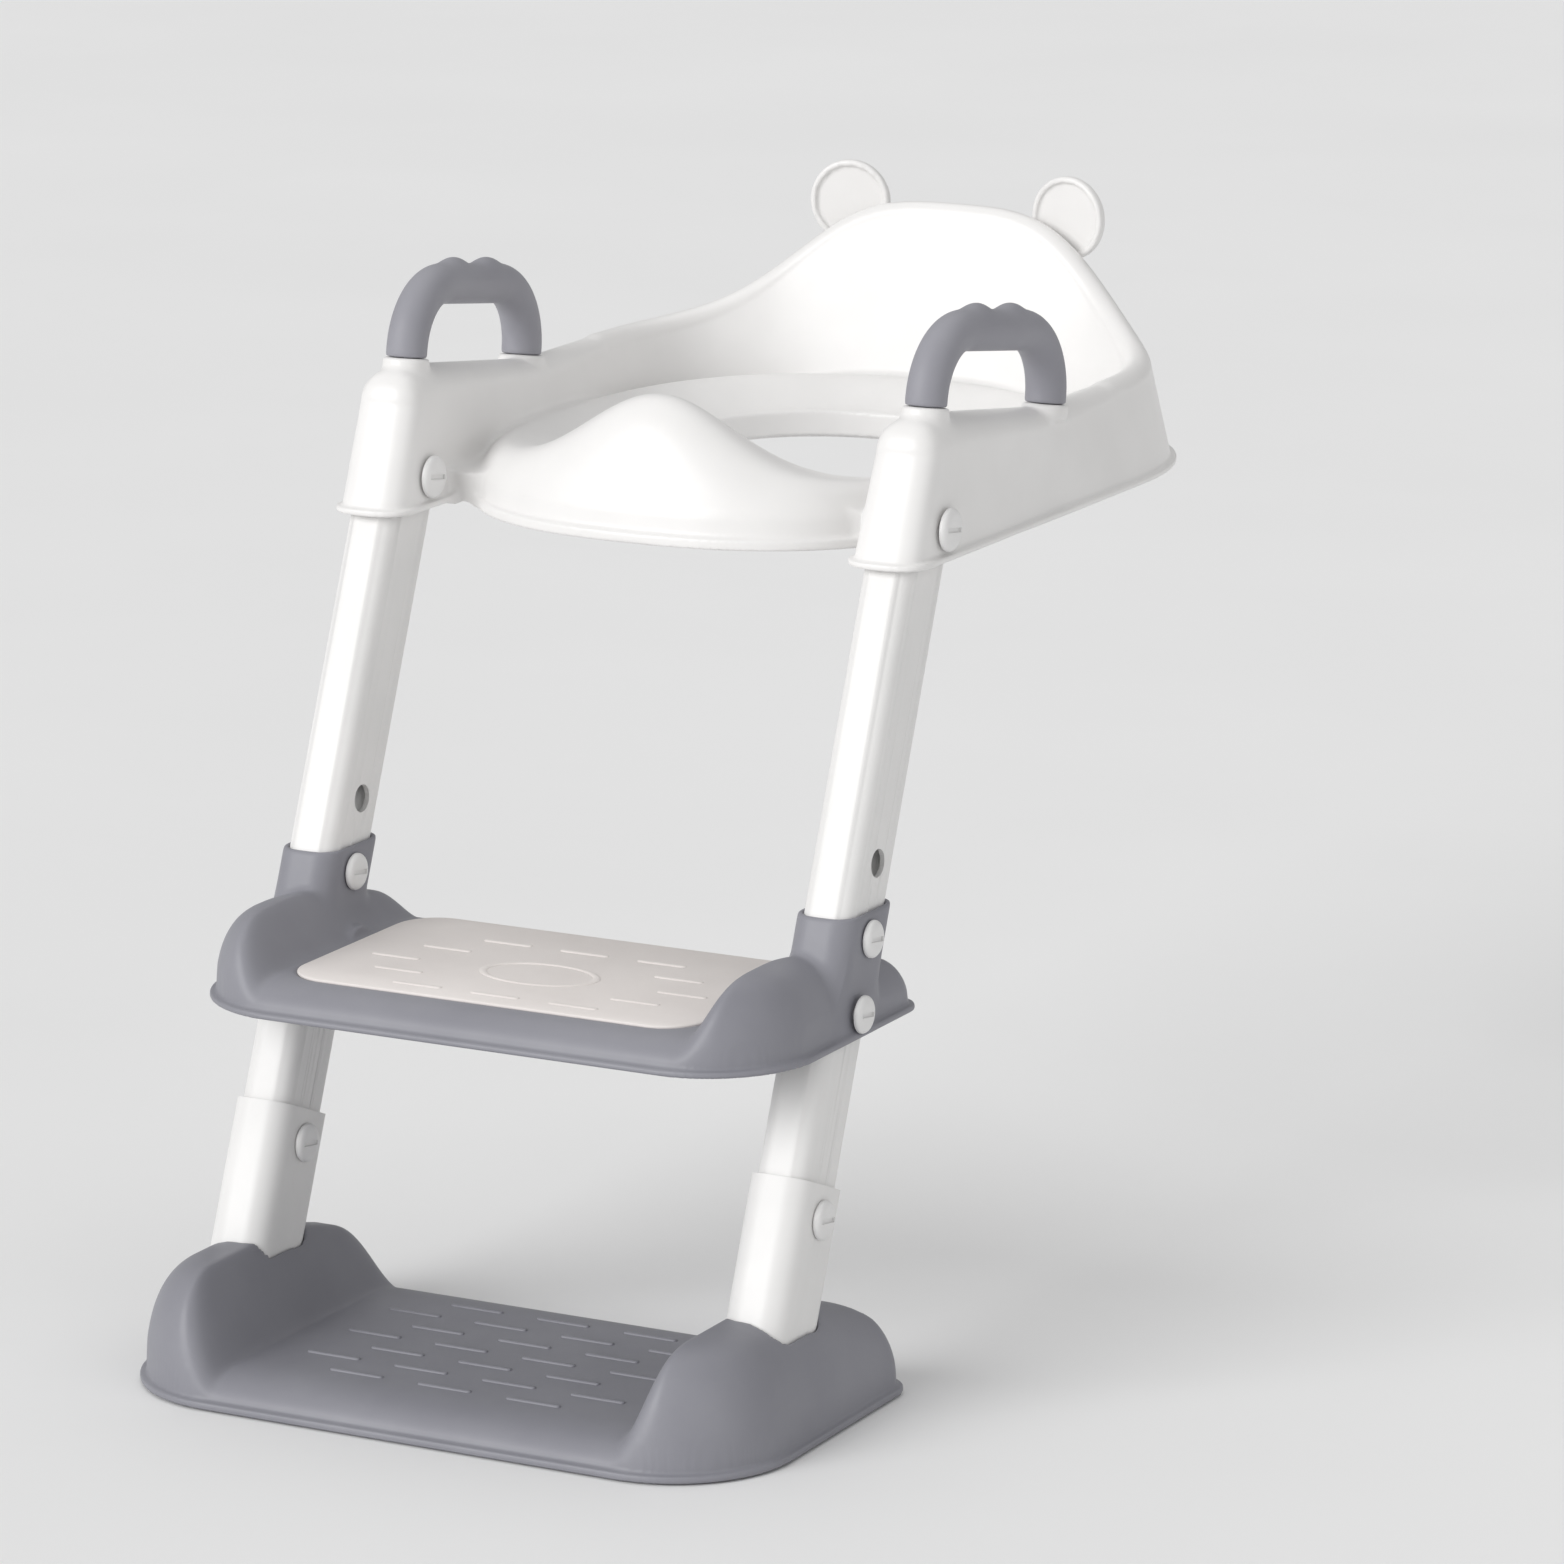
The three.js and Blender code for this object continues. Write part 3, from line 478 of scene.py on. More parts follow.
def mid_step():
    low, high = box_mm("mid_step")
    grid = Grid(low, high, STEP_VOXEL)
    outer, body = step_shell(grid, STEP)
    for hand, side in SIDES.items():
        column = rail_column(grid, hand, SLEEVE_OUT)
        collar = join_inside(column, grid.z - COLLAR_TOP, 2)
        collar = np.maximum(collar, STEP["z"] - grid.z)
        body = join(body, collar, 5)
        body = join(body, join_inside(rail_column(grid, hand, SLEEVE_OUT + 2), outer))
        start, end = -side * STEP_BOSS["inner"], -side * STEP_BOSS["outer"]
        boss = cross_rail(grid, hand, S_STEP_LOWER, STEP_BOSS["radius"], start, end)
        body = join(body, boss, 3)
    pad = plan_rect(grid, PAD_LOW, PAD_HIGH, GAP)
    body = cut(body, np.maximum(pad, PAD_LOW[2] - GAP - grid.z))
    for hand, side in SIDES.items():
        head = STEP_HEAD_RADIUS + GAP
        body = cut(body, rail_column(grid, hand, SLIDE_CLEARANCE), 1)
        body = cut(body, cross_rail(grid, hand, S_STEP_UPPER, head, COLLAR_FACE, 60), 1)
        body = cut(body, cross_rail(grid, hand, S_STEP_UPPER, head, -60, -COLLAR_FACE), 1)
        body = cut(body, cross_rail(grid, hand, S_STEP_UPPER, SHANK_RADIUS + GAP, -60, 60))
        outside = side * (STEP_LOWER_HEAD_X - GAP)
        body = cut(body, cross_rail(grid, hand, S_STEP_LOWER, head, outside, side * 60), 1)
        body = cut(body, cross_rail(grid, hand, S_STEP_LOWER, SHANK_RADIUS + GAP, 0, side * 60))
    body = np.maximum(body, STEP["z"] - grid.z)
    piece = field_object("mid_step_moulding", grid, body)
    return finish_piece(piece, "step", "mid_step", "grey_plastic")


def plan_rect(grid, low, high, grow):
    centre = (low + high) / 2
    half = (high - low) / 2 + grow
    return rounded_box(grid.x - centre[0], grid.y - centre[1], half[0], half[1], PAD_CORNER)


# ---------- seat ----------


def signed_power(value, power):
    return np.sign(value) * np.abs(value) ** power


def back_point(size, angle):
    power = 2 / ROUNDNESS
    x = size[0] * signed_power(math.cos(angle), power)
    y = size[1] * math.sin(angle) ** power if math.sin(angle) > 0 else 0
    return np.array([x, SEAT_CENTRE_Y + y])


def wall_stations():
    """Stations round the horseshoe wall, from the right tower back and round to the left one."""
    straight = []
    for t in np.linspace(0, 1, 26)[:-1]:
        y = mix(TOWER["crest_start"], SEAT_CENTRE_Y, t)
        fall = np.clip((y - HANDLE_FRONT[1]) / (HANDLE_BACK[1] - HANDLE_FRONT[1]), 0, 1)
        narrowing = np.clip((y - HANDLE_FRONT[1]) / (SEAT_CENTRE_Y - HANDLE_FRONT[1]), 0, 1)
        foot_y = mix(TOWER["centre"], SEAT_CENTRE_Y, t)
        straight.append({
            "outer": np.array([mix(TOWER["outer"], SEAT_OUTER[0], t), foot_y]),
            "inner": np.array([mix(TOWER["inner"], SEAT_INNER[0], t), foot_y]),
            "top": np.array([
                mix(TOWER["crest_x"], WALL_CREST[0], t), y, mix(TOWER["top"], SIDE_TOP, fall),
            ]),
            "half": mix(CREST_HALF["tower"], CREST_HALF["side"], narrowing),
        })
    back = []
    for angle in np.linspace(0, math.pi, 97):
        outer, inner, crest = (back_point(size, angle) for size in (SEAT_OUTER, SEAT_INNER, WALL_CREST))
        rise = math.exp(-(abs(crest[0] / CREST_SPREAD) ** CREST_POWER))
        back.append({
            "outer": outer, "inner": inner, "top": np.array([*crest, mix(SIDE_TOP, CREST_TOP, rise)]),
            "half": mix(CREST_HALF["side"], CREST_HALF["back"], rise),
        })
    flip = np.array([-1, 1])
    mirrored = [
        {**s, "outer": s["outer"] * flip, "inner": s["inner"] * flip, "top": s["top"] * [-1, 1, 1]}
        for s in reversed(straight)
    ]
    return straight + back + mirrored


def wall_feet(stations, inset):
    feet = []

    def foot(station, start, end):
        inward = (end - start) / np.linalg.norm(end - start)
        feet.append((start + inward * inset, station, -inward))

    def cap(station, steps=24):
        centre = (station["outer"] + station["inner"]) / 2
        half = np.linalg.norm(station["outer"] - station["inner"]) / 2 - inset
        for i in range(1, steps):
            angle = i / steps * math.pi
            out = np.array([-signed_power(math.cos(angle), 2 / 3), -(math.sin(angle) ** (2 / 3))])
            feet.append((centre + np.array([half, TOWER_CAP_DEPTH - inset]) * out, station, out))

    for station in stations:
        foot(station, station["outer"], station["inner"])
    cap(stations[-1])
    for station in reversed(stations):
        foot(station, station["inner"], station["outer"])
    cap(stations[0])
    return feet


def seat_wall(bottom):
    """Closed mesh of the horseshoe wall without its flange, down to bottom."""
    feet = wall_feet(wall_stations(), SEAT_LIP)
    middle = [(*((s["outer"] + s["inner"]) / 2), bottom) for _, s, _ in feet]
    start = np.array([(*p, SEAT_Z + SEAT_LIP_HEIGHT) for p, _, _ in feet])
    rows = [middle, [(*p, bottom) for p, _, _ in feet], start]

    def round_row(degrees):
        angle = math.radians(degrees)
        row = []
        for _, s, out in feet:
            reach = s["half"] * math.cos(angle)
            z = s["top"][2] - s["half"] * CREST_ROUND * (1 - math.sin(angle))
            row.append((*(s["top"][:2] + out * reach), z))
        return np.array(row)

    edge = round_row(0)
    rows += [mix(start, edge, t) for t in (0.25, 0.5, 0.75)]
    rows += [round_row(degrees) for degrees in range(0, 91, 9)]
    return loft(rows)


def super_oval(size, angle):
    power = 2 / ROUNDNESS
    x = size["half_width"] * signed_power(np.cos(angle), power)
    y = size["centre"] + size["depth"] * signed_power(np.sin(angle), power)
    return np.stack([x, y], -1)


def ring_height(f, x, front):
    """Top of the seat ring and splash guard, from the opening (f = 0) to the flange (f = 1)."""
    ring = mix(SKIRT_TOP, RING_TOP, smoothstep(0, 0.8, f))
    inside = np.sin(min(f / GUARD_CREST, 1) * math.pi / 2) ** 1.3
    beyond = max((f - GUARD_CREST) / (FLANGE_SHARE - GUARD_CREST), 0)
    outside = (1 - beyond**2.3) if f < FLANGE_SHARE else 0
    if f < GUARD_CREST:
        guard = mix(SKIRT_TOP, GUARD_TOP, inside)
    else:
        guard = mix(SEAT_Z, GUARD_TOP, outside**0.72)
    flange = SEAT_Z + RING_THICKNESS
    from_edge = max(FLANGE_SHARE - f, 0) * (RING["half_width"] - OPENING["half_width"])
    edge = flange + (ring - flange) * quarter_round(np.array(from_edge), RING_ROUND)
    bell = np.exp(-((x / GUARD_SPREAD) ** 2))
    return np.where(front, mix(edge, np.maximum(guard, edge), bell), edge)


def ring_mesh(bottom, count=240):
    """Closed mesh of the ring that the child sits on and the splash guard, down to bottom."""
    angles = np.linspace(0, 2 * math.pi, count + 1)[:-1]
    inner, outer = super_oval(OPENING, angles), super_oval(RING, angles)

    def row(f, z=None):
        plan = mix(inner, outer, f)
        if z is None:
            height = ring_height(f, plan[:, 0], plan[:, 1] < OPENING["centre"])
        else:
            height = np.full(count, z)
        return np.column_stack([plan, height])

    outer_steps = np.linspace(FLANGE_SHARE, 0.8, 14)[1:]
    inner_steps = np.linspace(0.8, 0, 33)[1:]
    steps = [1, FLANGE_SHARE + 0.001, *outer_steps, *inner_steps]
    rows = [row(1, bottom), *(row(f) for f in steps), row(0, bottom), row(1, bottom)]
    return loft(rows)


def handle_matrix(side):
    """The handle's own frame: y from its front foot to its back foot, z up out of the tower."""
    front = Vector(HANDLE_FRONT)
    back = Vector(HANDLE_BACK)
    front.x *= side
    back.x *= side
    y_axis = (back - front).normalized()
    x_axis = y_axis.cross(Vector((0, 0, 1))).normalized()
    z_axis = x_axis.cross(y_axis)
    matrix = Matrix((x_axis, y_axis, z_axis)).transposed().to_4x4()
    matrix.translation = (front + back) / 2
    return matrix


HANDLE_SPAN = (Vector(HANDLE_FRONT) - Vector(HANDLE_BACK)).length / 2


def local_coordinates(grid, matrix):
    inverse = np.array(matrix.inverted())
    return [row[0] * grid.x + row[1] * grid.y + row[2] * grid.z + row[3] for row in inverse[:3]]


def opening_distance(grid):
    """Rough plan distance out from the opening's edge."""
    power = ROUNDNESS
    across = np.abs(grid.x / OPENING["half_width"]) ** power
    along = np.abs((grid.y - OPENING["centre"]) / OPENING["depth"]) ** power
    return ((across + along) ** (1 / power) - 1) * OPENING["half_width"]


def web_beside(grid, side):
    """The little web between a tower and the splash guard."""
    near = slab(grid.y, -36, 40)
    return np.maximum(np.maximum(near, slab(grid.x * side, 112, 134)), slab(grid.z, SEAT_Z, SEAT_Z + 16))


def ear(grid, side):
    """A round disc with a raised rim on its front face, and its recess."""
    toe = Matrix.Rotation(-side * math.radians(EAR["toe"]), 4, "Z")
    place = Matrix.Translation((side * EAR["x"], EAR["y"], EAR["z"])) @ toe
    across, depth, up = local_coordinates(grid, place)
    radius = np.hypot(across, up)
    disc = join_inside(radius - EAR["radius"], np.abs(depth) - EAR["half"], 1.6)
    inside = join_inside(radius - (EAR["radius"] - EAR["rim"]), depth + EAR["half"] - EAR["recess"], 0.8)
    return cut(disc, inside, 0.6)


def seat_shell():
    low, high = box_mm("seat_shell")
    grid = Grid(low, high, SEAT_VOXEL)
    plain = grid.closed_mesh(*seat_wall(SEAT_Z - BELOW_SEAT))
    wall = np.maximum(plain, SEAT_Z - grid.z)
    lip = np.maximum(plain - LIP_REACH, slab(grid.z, SEAT_Z, SEAT_Z + SEAT_LIP_HEIGHT))
    ring_block = grid.closed_mesh(*ring_mesh(SEAT_Z - BELOW_SEAT))
    ring = cut(np.maximum(ring_block, SEAT_Z - grid.z), ring_block + RING_THICKNESS * 0.75)
    skirt = np.maximum(ring_block, -(opening_distance(grid) - SKIRT_WIDTH))
    skirt = np.maximum(skirt, SEAT_Z - SKIRT_DROP - grid.z)
    ring = join(ring, skirt)
    body = join(join(wall, ring, 7), lip, 0.5)
    for side in SIDES.values():
        body = join(body, web_beside(grid, side), 6)
        body = join(body, ear(grid, side), 2)
        across, along, up = local_coordinates(grid, handle_matrix(side))
        for end in (-1, 1):
            boss = np.hypot(across, along - end * HANDLE_SPAN) - HANDLE_BOSS["radius"]
            boss = join_inside(boss, slab(up, -HANDLE_BOSS["height"], -GAP), 2)
            body = join(body, boss, 3.5)
    body = cut(body, plain + SEAT_WALL)
    for hand, side in SIDES.items():
        across, along, up = local_coordinates(grid, handle_matrix(side))
        for end in (-1, 1):
            hole = np.hypot(across, along - end * HANDLE_SPAN) - SCREW_HOLE
            body = cut(body, np.maximum(hole, slab(up, -40, 10)))
        head = PIVOT_HEAD_RADIUS + GAP
        body = cut(body, cross_rail(grid, hand, S_PIVOT, BARREL_RADIUS + GAP, -40, 40))
        body = cut(body, cross_rail(grid, hand, S_PIVOT, head, PIVOT_HEAD_X - GAP, 40), 1)
        body = cut(body, cross_rail(grid, hand, S_PIVOT, head, -40, GAP - PIVOT_HEAD_X), 1)
    body = np.maximum(body, SEAT_Z - SKIRT_DROP - grid.z)
    return finish_piece(field_object("seat_moulding", grid, body), "seat", "seat_shell", "white_plastic")


def handle_grip(hand, side):
    """A bent round bar with finger bumps along its top, blended like soft rubber."""
    low, high = box_mm(f"{hand}_handle_grip")
    grid = Grid(low, high, GRIP_VOXEL)
    across, along, up = local_coordinates(grid, handle_matrix(side))
    bend = HANDLE_SPAN - HANDLE_BEND
    # Distance to the bar's centreline: two uprights, two quarter bends and the top bar.
    reach = np.abs(along)
    level = HANDLE_RISE - HANDLE_BEND
    corner = np.abs(np.hypot(reach - bend, up - level) - HANDLE_BEND)
    straight = np.where(up < level, np.abs(reach - HANDLE_SPAN), np.abs(up - HANDLE_RISE))
    in_corner = (reach > bend) & (up > level)
    from_line = np.where(in_corner, corner, straight)
    nearest = np.minimum(np.abs(reach - HANDLE_SPAN), np.abs(up - HANDLE_RISE))
    from_line = np.where((reach <= bend) & (up < level), nearest, from_line)
    bar = np.hypot(across, from_line) - HANDLE_RADIUS
    bar = join_inside(bar, -up, 1.2)
    for end in (-1, 1):
        radii = KNUCKLE["radii"]
        scaled = np.sqrt(
            (across / radii[0]) ** 2 + ((along - end * KNUCKLE["at"]) / radii[1]) ** 2
            + ((up - HANDLE_RISE - KNUCKLE["above"]) / radii[2]) ** 2
        )
        bar = join(bar, (scaled - 1) * radii[0], 3)
        hole = np.hypot(across, along - end * HANDLE_SPAN) - SCREW_HOLE
        bar = cut(bar, np.maximum(hole, slab(up, -5, 16)))
    piece = field_object(f"{hand}_grip", grid, bar)
    return finish_piece(piece, "seat", f"{hand}_handle_grip", "grip_rubber")


# ---------- rails and sleeves ----------


def section(grow, per_corner=10, per_side=14):
    """Points round a rail's rounded section."""
    half_x, half_y = RAIL["half_width"] + grow, RAIL["half_depth"] + grow
    corner = RAIL["corner"] + grow
    corners = []
    for k, (sx, sy) in enumerate(((1, -1), (1, 1), (-1, 1), (-1, -1))):
        start = (k - 1) * math.pi / 2
        for i in range(per_corner + 1):
            angle = start + i / per_corner * math.pi / 2
            corners.append((
                sx * (half_x - corner) + corner * math.cos(angle),
                sy * (half_y - corner) + corner * math.sin(angle),
            ))
    points = []
    for k, (a, b) in enumerate(zip(corners, corners[1:] + corners[:1])):
        flat = k % (per_corner + 1) == per_corner
        parts = per_side if flat else 1
        points += [(mix(a[0], b[0], i / parts), mix(a[1], b[1], i / parts)) for i in range(parts)]
    return points


def rail_matrix(hand):
    axis, back = Vector(RAIL_AXIS), Vector(RAIL_BACK)
    matrix = Matrix((Vector((1, 0, 0)), back, axis)).transposed().to_4x4()
    matrix.translation = Vector((RAIL_X[hand], RAIL_FOOT_Y, 0)) * MM
    return matrix


def tube(name, grow_out, grow_in, start, end, round_end=0):
    """An open tube of the rail's section in its own frame; its end may be round seen from the side."""
    bm = bmesh.new()
    loops = []
    for grow, s in ((grow_out, start), (grow_out, end), (grow_in, end), (grow_in, start)):
        loop = []
        for x, y in section(grow):
            drop = round_end - math.sqrt(max(round_end**2 - y**2, 0)) if s == end else 0
            loop.append(bm.verts.new(Vector((x, y, s - drop)) * MM))
        loops.append(loop)
    bridge(bm, loops + loops[:1])
    bmesh.ops.recalc_face_normals(bm, faces=bm.faces)
    return link_bmesh(name, bm)


def drill(obj, s, radius):
    bm = bmesh.new()
    bmesh.ops.create_cone(
        bm, cap_ends=True, segments=64, radius1=radius * MM, radius2=radius * MM, depth=80 * MM,
        matrix=Matrix.Translation((0, 0, s * MM)) @ Matrix.Rotation(math.pi / 2, 4, "Y"),
    )
    cut_away(obj, link_bmesh("drill", bm))


def rail(hand):
    low, _ = box_mm(f"{hand}_rail")
    start = (low[2] + RAIL["half_depth"] * RAIL_AXIS[1]) / RAIL_AXIS[2]
    half = RAIL["half_depth"]
    obj = tube(f"{hand}_rail_tube", 0, -RAIL["wall"], start, S_PIVOT + half, round_end=half)
    spare = (S_STEP_UPPER + HOLE_PITCH, S_SLEEVE_BOLT - HOLE_PITCH)
    for s in (S_PIVOT, spare[0], S_STEP_UPPER, S_STEP_LOWER, S_SLEEVE_BOLT, spare[1]):
        drill(obj, s, HOLE_RADIUS)
    bevel(obj, 0.6)
    soften(obj)
    return place_on_rail(obj, hand, "ladder", f"{hand}_rail")


def sleeve(hand):
    low, high = box_mm(f"{hand}_leg_sleeve")
    half = RAIL["half_depth"] + SLEEVE_OUT
    start = (low[2] + half * RAIL_AXIS[1]) / RAIL_AXIS[2]
    end = (high[2] - half * RAIL_AXIS[1]) / RAIL_AXIS[2]
    obj = tube(f"{hand}_sleeve_tube", SLEEVE_OUT, SLIDE_CLEARANCE, start, end)
    drill(obj, S_SLEEVE_BOLT, SHANK_RADIUS + GAP)
    bevel(obj, 0.9)
    soften(obj)
    return place_on_rail(obj, hand, "base", f"{hand}_leg_sleeve")


def place_on_rail(obj, hand, body, node):
    obj.data.transform(rail_matrix(hand))
    return finish_piece(obj, body, node, "rail_plastic")


# ---------- fasteners, feet and pad ----------


def head_profile(radius, shank, length):
    """Outline of a domed head on a shank; the head's under face is at height 0."""
    dome = []
    for i in range(9):
        angle = i / 9 * math.pi / 2
        height = 1.2 + (HEAD_HEIGHT - 1.2) * math.sin(angle)
        dome.append((radius * (0.55 + 0.45 * math.cos(angle)), height))
    stem = [(0, -length), (shank - 0.3, -length), (shank, -length + 0.4), (shank, 0)]
    top = [(radius * 0.5, HEAD_HEIGHT), (0.5, HEAD_HEIGHT), (0, HEAD_HEIGHT)]
    return [*stem, (radius - 0.4, 0), (radius, 0.4), *dome, *top]


def fastener(node, body, shank, slotted):
    """A coin-slot bolt or a plain cap nut in the place of its node."""
    low, high = box_mm(node)
    centre = (low + high) / 2
    radius = (high[1] - low[1]) / 2
    side = 1 if node.endswith("bolt") else -1
    if "lower" in node and node.startswith("left"):
        side = -1
    under = high[0] - HEAD_HEIGHT if side > 0 else low[0] + HEAD_HEIGHT
    length = high[0] - low[0] - HEAD_HEIGHT
    profile = head_profile(radius, shank, length)
    obj = lathe_object(node.replace("_bolt", "_coin_bolt").replace("_nut", "_cap_nut"), profile,
                       (under, centre[1], centre[2]), (side, 0, 0))
    if slotted:
        bm = bmesh.new()
        bmesh.ops.create_cube(bm, size=1)
        for vert in bm.verts:
            along = vert.co.z * radius * SLOT["length"]
            vert.co = Vector((vert.co.x * SLOT["depth"], vert.co.y * SLOT["width"], along)) * MM
            vert.co = Matrix.Rotation(math.radians(SLOT["tilt"]), 3, "X") @ vert.co
            vert.co += Vector((under + side * HEAD_HEIGHT, centre[1], centre[2])) * MM
        cut_away(obj, link_bmesh("slot", bm))
        bevel(obj, 0.25, 2, 40)
    soften(obj)
    return finish_piece(obj, body, node, "bolt_plastic")


def foot(node):
    low, high = box_mm(node)
    centre = (low + high) / 2
    radius, height = (high[0] - low[0]) / 2, high[2] - low[2]
    profile = [(0, 0), (radius - 1.2, 0), (radius - 0.4, 0.3), (radius, 1.1), (radius, height - 0.5),
               (radius - 0.5, height), (0.5, height), (0, height)]
    obj = lathe_object(node + "_pad", profile, (centre[0], centre[1], low[2]), (0, 0, 1))
    return finish_piece(obj, "base", node, "foot_rubber")


def screw(node, side, end):
    """A pan-head screw, up into a handle's foot."""
    place = handle_matrix(side)
    direction = place.to_3x3() @ Vector((0, 0, 1))
    seat, head_height, length = -11, 2.6, 24
    at = place @ Vector((0, end * HANDLE_SPAN, seat - head_height))
    head = [(0, 0), (1.5, 0.0), (3.4, 0.5), (4.5, 1.6), (4.5, head_height)]
    shank = [(2, head_height), (2, length - 1), (1.2, length), (0.3, length), (0, length)]
    profile = head + shank
    obj = lathe_object(node + "_pan", profile, at, direction, 32)
    return finish_piece(obj, "seat", node, "screw_steel")


def stadium(length, width, count=8):
    """Outline of a dash: two half circles joined by straight sides."""
    points = []
    for centre, start in ((length / 2 - width / 2, -math.pi / 2), (-(length / 2 - width / 2), math.pi / 2)):
        for i in range(count + 1):
            angle = start + i / count * math.pi
            points.append((centre + width / 2 * math.cos(angle), width / 2 * math.sin(angle)))
    return points


def add_dash(bm, centre, turn, length, width, base, height):
    """A low rounded rib on a level surface."""
    rows = [(0, 0.0), (0, 0.55), (0.22, 0.85), (0.5, 1.0)]
    loops = []
    for inset, rise in rows:
        outline = stadium(length - inset * width, width * (1 - inset))
        loop = []
        for x, y in outline:
            px = centre[0] + x * math.cos(turn) - y * math.sin(turn)
            py = centre[1] + x * math.sin(turn) + y * math.cos(turn)
            loop.append(bm.verts.new(Vector((px, py, base + rise * height)) * MM))
        loops.append(loop)
    bridge(bm, loops)
    cap_ends(bm, loops)


def bmesh_object(name, bm):
    bmesh.ops.recalc_face_normals(bm, faces=bm.faces)
    obj = link_bmesh(name, bm)
    soften(obj, 50)
    return obj


TREAD = {
    "rows": 7, "row_gap": 20.8, "middle": -218.5, "dash": 31.5, "gap": 20.7, "width": 3.4, "height": 1.0,
}


def base_tread():
    """Brick-staggered ribs on the bottom step's deck."""
    bm = bmesh.new()
    deck = BASE["z"] + BASE["deck"]
    pitch = TREAD["dash"] + TREAD["gap"]
    for row in range(TREAD["rows"]):
        y = TREAD["middle"] + (row - (TREAD["rows"] - 1) / 2) * TREAD["row_gap"]
        shift = pitch / 2 if row % 2 else 0
        for k in range(-3, 4):
            x = k * pitch + shift
            if abs(x) + TREAD["dash"] / 2 < BASE["deck_half"] - 2:
                add_dash(bm, (x, y), 0, TREAD["dash"], TREAD["width"], deck - 0.4, TREAD["height"] + 0.4)
    obj = bmesh_object("bottom_step_ribs", bm)
    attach(obj, "base")
    dress(obj, "grey_plastic")
    return obj


def add_oval(bm, spec, base, height):
    """A low raised oval ring on a level surface."""
    count = 72
    middle = (1 + spec["inner"]) / 2
    inner = spec["inner"]
    shoulders = [(mix(1, middle, 0.5), 1), (mix(inner, middle, 0.5), 1)]
    rows = [(1, 0), (1, 0.6), *shoulders, (inner, 0.6), (inner, 0)]
    loops = []
    for size, rise in rows:
        loop = []
        for i in range(count):
            angle = i / count * 2 * math.pi
            x = spec["centre"][0] + spec["half"][0] * size * math.cos(angle)
            y = spec["centre"][1] + spec["half"][1] * size * math.sin(angle)
            loop.append(bm.verts.new(Vector((x, y, base + rise * height)) * MM))
        loops.append(loop)
    bridge(bm, loops + loops[:1])


def step_pad():
    """Soft mat let into the mid step, with ribs round a plain oval."""
    bm = bmesh.new()
    low, high = PAD_LOW, PAD_HIGH
    centre = (low + high) / 2
    half = (high - low) / 2
    top = high[2] - 0.6
    loops = []
    for inset, z in ((0.5, low[2]), (0, low[2] + 0.5), (0, top - 0.8), (0.25, top - 0.3), (0.9, top)):
        loop = []
        corner = PAD_CORNER - inset
        for k, (sx, sy) in enumerate(((1, -1), (1, 1), (-1, 1), (-1, -1))):
            for i in range(13):
                angle = (k - 1 + i / 12) * math.pi / 2
                x = centre[0] + sx * (half[0] - PAD_CORNER) + corner * math.cos(angle)
                y = centre[1] + sy * (half[1] - PAD_CORNER) + corner * math.sin(angle)
                loop.append(bm.verts.new(Vector((x, y, z)) * MM))
        loops.append(loop)
    bridge(bm, loops)
    cap_ends(bm, loops)
    for y, columns in PAD_RIBS["rows"]:
        for x in columns:
            add_dash(bm, (x, y), 0, PAD_RIBS["length"], PAD_RIBS["width"], top - 0.3, 0.85)
    add_oval(bm, PAD_OVAL, top - 0.3, 0.85)
    obj = bmesh_object("mid_step_mat", bm)
    return finish_piece(obj, "step", "step_pad", "pad_soft")


PAD_RIBS = {
    "rows": ((-130.5, (-46, 0, 46)), (-154.5, (-69, 69)), (-180.5, (-85, 85)), (-203.5, (-70, 70)),
             (-225.5, (-46, 0, 46))),
    "length": 28.6, "width": 3.6,
}
PAD_OVAL = {"centre": (0, -178.5), "half": (34, 21), "inner": 0.88}

# ---------- materials ----------


def noise_node(tree, scale, detail=3.0, roughness=0.5):
    coordinates = tree.nodes.new("ShaderNodeTexCoord")
    noise = tree.nodes.new("ShaderNodeTexNoise")
    noise.inputs["Scale"].default_value = scale
    noise.inputs["Detail"].default_value = detail
    noise.inputs["Roughness"].default_value = roughness
    tree.links.new(coordinates.outputs["Object"], noise.inputs["Vector"])
    return noise


def ramp_node(tree, source, stops):
    ramp = tree.nodes.new("ShaderNodeValToRGB")
    for element, (position, colour) in zip(ramp.color_ramp.elements, stops):
        element.position = position
        element.color = (*colour, 1)
    tree.links.new(source, ramp.inputs["Fac"])
    return ramp


